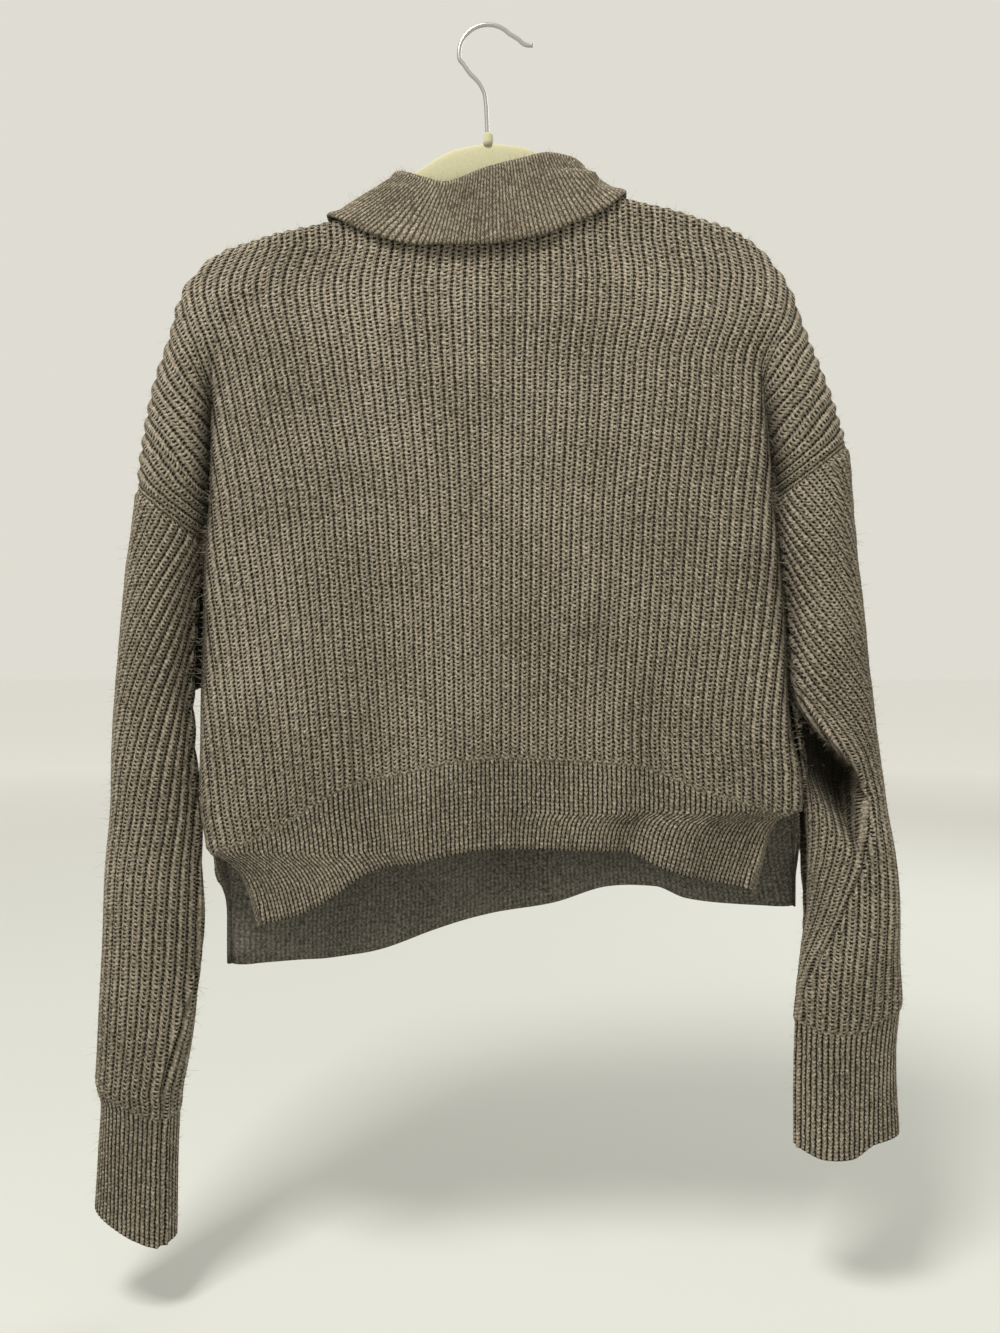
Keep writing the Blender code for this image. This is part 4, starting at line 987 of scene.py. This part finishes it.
HOOK_TAIL = Table("x drop", (17.3, 6.4), (22.5, 8.6), (27, 13), (31.5, 14.6), (36, 14.4))
HOOK_STEM = Table(
    "drop x",
    (27.5, -20.2), (36.0, -14.5), (44.5, -6.5), (54.0, -2.3), (70.0, -1.0), (86.0, -0.5),
)
stem_drop = np.linspace(86.0, 27.5, 60)
stem = np.stack([HOOK_STEM("x", stem_drop), 0 * stem_drop, -stem_drop], axis=1)
bend_angle = np.radians(np.linspace(196, 40, 90))
bend = HOOK_RADIUS * np.stack([np.cos(bend_angle), 0 * bend_angle, np.sin(bend_angle)], axis=1)
bend -= (0, 0, HOOK_RADIUS - HOOK_WIRE)
tail_x = np.linspace(22.5, 36.0, 20)
tail = np.stack([tail_x, 0 * tail_x, -HOOK_TAIL("drop", tail_x)], axis=1)
hook_path = blurred(np.concatenate([stem, bend, tail]), 2)
hook_wire = np.full(len(hook_path), HOOK_WIRE)
hook_wire[-4:] = (1.75, 1.7, 1.35, 0.7)
wire_hook = capped("wire_hook", tube(hook_path, hook_wire, 16), False)

# %% [markdown]
# ## Wool
# Half-cardigan rib is a net of chunky stitches: each rib is a column of V-shaped loops with a
# dark hole at the foot of each V, and a deep gap between columns. In the fine rib the
# columns are half as wide. One node group draws both, from the rib and row number that
# each point of the knit carries.
# %% Helper for node trees
class Graph:
    """A node tree. What its methods are given is a socket, a number or a colour."""

    def __init__(self, tree):
        self.tree = tree

    def put(self, value, socket):
        """Links a socket to an input, or sets the input to a value."""
        if isinstance(value, bpy.types.NodeSocket):
            self.tree.links.new(value, socket)
        else:
            socket.default_value = value

    def fill(self, node, **inputs):
        """Fills a node's inputs by name, with _ for a space."""
        for name, value in inputs.items():
            self.put(value, node.inputs[name.replace("_", " ")])

    def node(self, kind, **inputs):
        made = self.tree.nodes.new("ShaderNode" + kind)
        self.fill(made, **inputs)
        return made

    def attribute(self, name):
        made = self.node("Attribute")
        made.attribute_name = name
        return made.outputs

    def maths(self, operation, *values, clamp=False):
        made = self.node("Math")
        made.operation, made.use_clamp = operation, clamp
        for value, socket in zip(values, made.inputs):
            self.put(value, socket)
        return made.outputs[0]

    def plus(self, a, b):
        return self.maths("ADD", a, b)

    def less(self, a, b):
        return self.maths("SUBTRACT", a, b)

    def times(self, a, b):
        return self.maths("MULTIPLY", a, b)

    def mix(self, factor, a, b):
        """a where factor is 0, b where it is 1: colours, or numbers if a is one."""
        made = self.node("Mix")
        is_colour = isinstance(a, tuple) or getattr(a, "type", "") == "RGBA"
        made.data_type = "RGBA" if is_colour else "FLOAT"
        first = 6 if is_colour else 2
        for value, place in zip((factor, a, b), (0, first, first + 1)):
            self.put(value, made.inputs[place])
        return made.outputs[2 if is_colour else 0]

    def noise(self, vector, scale, detail=2.0, roughness=0.5):
        """Noise around 0.5."""
        made = self.node("TexNoise", Vector=vector, Scale=scale, Detail=detail, Roughness=roughness)
        return made.outputs["Fac"]

    def bump(self, height, strength, distance):
        made = self.node("Bump", Height=height, Strength=strength, Distance=distance)
        return made.outputs["Normal"]

    def where(self):
        return self.node("TexCoord").outputs["Object"]


def node_group(name, inputs, outputs):
    """A new node group: its graph, what it is given and what it gives."""
    tree = bpy.data.node_groups.new(name, "ShaderNodeTree")
    for way, sockets in (("INPUT", inputs), ("OUTPUT", outputs)):
        for socket, kind in sockets.items():
            tree.interface.new_socket(socket, in_out=way, socket_type="NodeSocket" + kind)
    given, gives = tree.nodes.new("NodeGroupInput"), tree.nodes.new("NodeGroupOutput")
    return Graph(tree), given.outputs, gives.inputs


def new_material(name, **inputs):
    """A new material, its graph and its shader, whose inputs are filled."""
    made = bpy.data.materials.new(name)
    made.use_nodes = True
    graph, shader = Graph(made.node_tree), made.node_tree.nodes["Principled BSDF"]
    graph.fill(shader, **inputs)
    return made, graph, shader


# %% Node group for knitted stitches
def stitch_group():
    """Height of the loops, from rib number, row number and fineness.

    Across a rib, a is the distance from its middle, 0 to 0.5. A loop is a U: its two arms
    are high at a = 0.25, its foot crosses the middle, and dark holes are left in the middle
    between two feet and in the gap at a = 0.5. The wave that makes them is
    0.5 + 0.5 sin(2 pi (row - 0.75 (2a)^1.5)).
    """
    g, given, gives = node_group(
        "knit stitches", {"Knit": "Vector"}, {"Height": "Float", "Yarn": "Float"}
    )
    wale, row, fine = g.node("SeparateXYZ", Vector=given["Knit"]).outputs
    place = g.node("CombineXYZ", X=g.times(wale, 2.2), Y=row).outputs[0]
    wobble, wander = g.noise(place, 0.9, 1.0), g.noise(place, 0.35, 1.0)
    row = g.plus(row, g.times(g.less(wobble, 0.5), 0.9))
    wale = g.plus(wale, g.times(g.less(wander, 0.5), 0.2))

    def from_middle(number):
        return g.maths("ABSOLUTE", g.less(number, g.maths("ROUND", number)))

    def arcs(beside, rise, floor):
        """U-shaped loops: a wave along the row, which the arms of the U carry upwards."""
        arm = g.maths("POWER", g.times(beside, 2.0), 1.5)
        wave = g.maths("SINE", g.times(g.less(row, g.times(arm, rise)), 2 * math.pi))
        return g.mix(g.plus(g.times(wave, 0.5), 0.5), floor, 1.0)

    def band(value, middle, half):
        """1 at the middle of a band of the rib, 0 from `half` away."""
        off = g.maths("DIVIDE", g.less(value, middle), half)
        return g.maths("SUBTRACT", 1.0, g.times(off, off), clamp=True)

    beside = from_middle(wale)
    arm, heart, gap = band(beside, 0.25, 0.21), band(beside, 0.0, 0.17), band(beside, 0.5, 0.2)
    loop = arcs(beside, 0.75, 0.0)
    chunky = g.times(arm, g.plus(0.5, g.times(loop, 0.5)))
    for part, share in ((heart, 0.95), (gap, 0.52)):
        chunky = g.maths("MAXIMUM", chunky, g.times(part, g.times(loop, share)))
    thin_beside = from_middle(g.times(wale, 2.0))
    thin = g.times(band(thin_beside, 0.0, 0.5), arcs(thin_beside, 0.8, 0.45))
    rough = g.times(g.less(g.noise(place, 7.0, 3.0, 0.7), 0.5), 0.8)
    height = g.plus(g.mix(fine, chunky, thin), rough)
    # Yarn falls to 0 where the loops are low, in the holes and gaps, which the wool fills with painted
    # shade
    edge = g.node("MapRange", Value=height, From_Min=0.22, From_Max=0.62)
    edge.interpolation_type = "SMOOTHSTEP"
    g.put(height, gives["Height"])
    g.put(edge.outputs["Result"], gives["Yarn"])
    return g.tree


# %% Node group for heather wool
def heather_group():
    """Colour of spun wool: two fibre colours mixed by fine noise, with slow drifts. Where Yarn is 0, in
    the holes and gaps between stitches, it gives the Gap colour, painted shade.
    """
    given = {"Yarn": "Float", "Light": "Color", "Dark": "Color", "Gap": "Color"}
    g, given, gives = node_group("heather wool", given, {"Color": "Color"})
    where = g.where()
    flecks, drift = g.noise(where, 480.0, 3.0, 0.7), g.noise(where, 16.0)
    blend = g.plus(flecks, g.times(g.less(drift, 0.5), 0.2))
    steep = g.node("MapRange", Value=blend, From_Min=0.36, From_Max=0.64).outputs["Result"]
    yarn = g.mix(steep, given["Dark"], given["Light"])
    g.put(g.mix(given["Yarn"], given["Gap"], yarn), gives["Color"])
    return g.tree


# %% Wool material
STITCHES, HEATHER = stitch_group(), heather_group()
# near-black colour of the painted shade in creases and recesses
PAINTED_SHADE_COLOUR = (0.006, 0.004, 0.002, 1)


def wool(name, light, dark, gap, inside_painted_shade, depth):
    """Knitted wool. depth is the height of its stitches in metres."""
    sheen = {"Sheen_Weight": 0.07, "Sheen_Roughness": 0.55, "Sheen_Tint": (0.75, 0.70, 0.60, 1)}
    made, g, shader = new_material(name, Roughness=0.92, Specular_IOR_Level=0.08, **sheen)
    knit, inside, shade = g.attribute("knit"), g.attribute("inside"), g.attribute("shade")
    stitches, heather = g.node("Group"), g.node("Group")
    stitches.node_tree, heather.node_tree = STITCHES, HEATHER
    g.fill(stitches, Knit=knit["Vector"])
    yarn = g.maths("MAXIMUM", stitches.outputs["Yarn"], g.times(inside["Fac"], 0.6))
    g.fill(heather, Yarn=yarn, Light=light + (1,), Dark=dark + (1,), Gap=gap + (1,))
    # painted shade: the inside, the same yarn as the outside, is darkened and cooled by this multiply
    shaded_inside = g.mix(inside["Fac"], heather.outputs["Color"], inside_painted_shade + (1,))
    shaded_inside.node.blend_type = "MULTIPLY"
    bump = g.bump(stitches.outputs["Height"], 1.0, depth)
    # the shade attribute mixes the near-black painted shade into the colour
    g.fill(shader, Base_Color=g.mix(shade["Fac"], shaded_inside, PAINTED_SHADE_COLOUR), Normal=bump)
    return made


# gap is painted shade: the colour of the holes and gaps between stitches, near black on the body
knit_wool = wool(
    "knit",
    light=(0.55, 0.482, 0.372),
    dark=(0.145, 0.123, 0.088),
    gap=(0.008, 0.006, 0.003),
    inside_painted_shade=(0.60, 0.64, 0.70),
    depth=0.0016,
)
collar_wool = wool(
    "collar_knit",
    light=(0.46, 0.398, 0.30),
    dark=(0.10, 0.085, 0.06),
    gap=(0.06, 0.05, 0.034),
    inside_painted_shade=(0.6, 0.64, 0.7),
    depth=0.0007,
)
fibre_wool = new_material(
    "wool fibre", Base_Color=(0.45, 0.39, 0.29, 1), Roughness=0.8, Specular_IOR_Level=0.1
)[0]

# %% Flocking: a matt cream with a fine grain
flocked, g, shader = new_material("flocked", Roughness=0.85, Sheen_Weight=0.35)
grain = g.noise(g.where(), 900.0, 3.0, 0.6)
cream = g.mix(grain, (0.38, 0.36, 0.22, 1), (0.52, 0.50, 0.33, 1))
g.fill(shader, Base_Color=cream, Normal=g.bump(grain, 0.5, 0.0003))

# %% Polished wire with a few duller patches
chrome, g, shader = new_material("chrome_wire", Metallic=1.0)
patches = g.noise(g.where(), 120.0, 3.0, 0.6)
grey = g.mix(patches, (0.42, 0.42, 0.40, 1), (0.55, 0.55, 0.53, 1))
g.fill(shader, Base_Color=grey, Roughness=g.mix(patches, 0.34, 0.18))

# %% [markdown]
# ## Riding on the frame
# The sweater has no joints: every piece rides on the one body and stands for its own solid, which is
# hidden.
# %% Bodies and the solids they stand for
PIECES = (
    (knit_back, knit_wool, "back_panel", "knit"),
    (knit_front, knit_wool, "front_panel", "knit"),
    (knit_sleeve_left, knit_wool, "sleeve_left", "knit"),
    (knit_sleeve_right, knit_wool, "sleeve_right", "knit"),
    (knit_collar, collar_wool, "collar", "collar_knit"),
    (hanger_arms, flocked, "hanger", "flocked"),
    (hanger_boss, flocked, "hanger", "flocked"),
    (wire_hook, chrome, "hanger_hook", "chrome_wire"),
    (loose_fibres, fibre_wool, None, "knit"),
)
for piece, material, node, finish in PIECES:
    piece.data.materials.append(material)
    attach(piece, "root")
    if node:
        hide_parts(node)

# %% [markdown]
# ## Floor, light and camera
# A pale floor, a soft large light from the upper left and a pale sky fill the scene. The
# camera looks straight at the back from arm's length, at the middle of the sweater.
# %% Floor
floor = bpy.data.objects.new("floor", bpy.data.meshes.new("floor"))
size = 40.0
floor.data.from_pydata(
    [(-size, -size, -1.0), (size, -size, -1.0), (size, size, -1.0), (-size, size, -1.0)],
    [],
    [(0, 1, 2, 3)],
)
bpy.context.scene.collection.objects.link(floor)
floor_paint, g, shader = new_material("pale floor", Roughness=0.9)
# painted light: the floor is painted darker near the middle, where the lamp lights it most, and paler
# far off, where its light falls off
away = g.node("VectorMath")
away.operation = "LENGTH"
g.put(g.where(), away.inputs[0])
far_painted_light = g.node("MapRange", Value=away.outputs["Value"], From_Min=1.2, From_Max=5.0)
shades = (0.57, 0.58, 0.55, 1), (0.97, 0.97, 0.95, 1)
g.fill(shader, Base_Color=g.mix(far_painted_light.outputs["Result"], *shades))
floor.data.materials.append(floor_paint)

# %% Light
world = bpy.data.worlds.new("studio")
bpy.context.scene.world = world
world.use_nodes = True
world.node_tree.nodes["Background"].inputs["Color"].default_value = (0.74, 0.72, 0.65, 1)
world.node_tree.nodes["Background"].inputs["Strength"].default_value = 1.0


def soft_light(name, place, power, width, tint):
    """A square area light of some width, turned to face the sweater."""
    lamp = bpy.data.lights.new(name, "AREA")
    lamp.energy = power
    lamp.size = width
    lamp.color = tint
    made = bpy.data.objects.new(name, lamp)
    bpy.context.scene.collection.objects.link(made)
    made.location = place
    aim = np.array((0.0, 0.0, -0.5)) - np.array(place)
    pitch = math.atan2(math.hypot(aim[0], aim[1]), -aim[2])
    made.rotation_euler = (pitch, 0, math.atan2(aim[1], aim[0]) - math.pi / 2)
    return made


soft_light("ceiling", (-0.6, -1.15, 1.45), 52, 0.6, (1.0, 0.97, 0.92))
soft_light("far fill", (1.2, 1.4, 0.8), 14, 1.4, (0.95, 0.98, 1.0))

# %% Camera
DISTANCE = 0.85
FRAME_HEIGHT = 1.333 * 0.78  # metres across the frame's long side at the hanger
camera = bpy.data.objects.new("camera", bpy.data.cameras.new("camera"))
bpy.context.scene.collection.objects.link(camera)
camera.data.sensor_width = 36
camera.data.lens = 36 * DISTANCE / FRAME_HEIGHT
camera.location = (0.0094, -DISTANCE, -0.499)
camera.rotation_euler = (math.pi / 2, 0, 0)
bpy.context.scene.camera = camera
bpy.context.scene.view_settings.view_transform = "Standard"
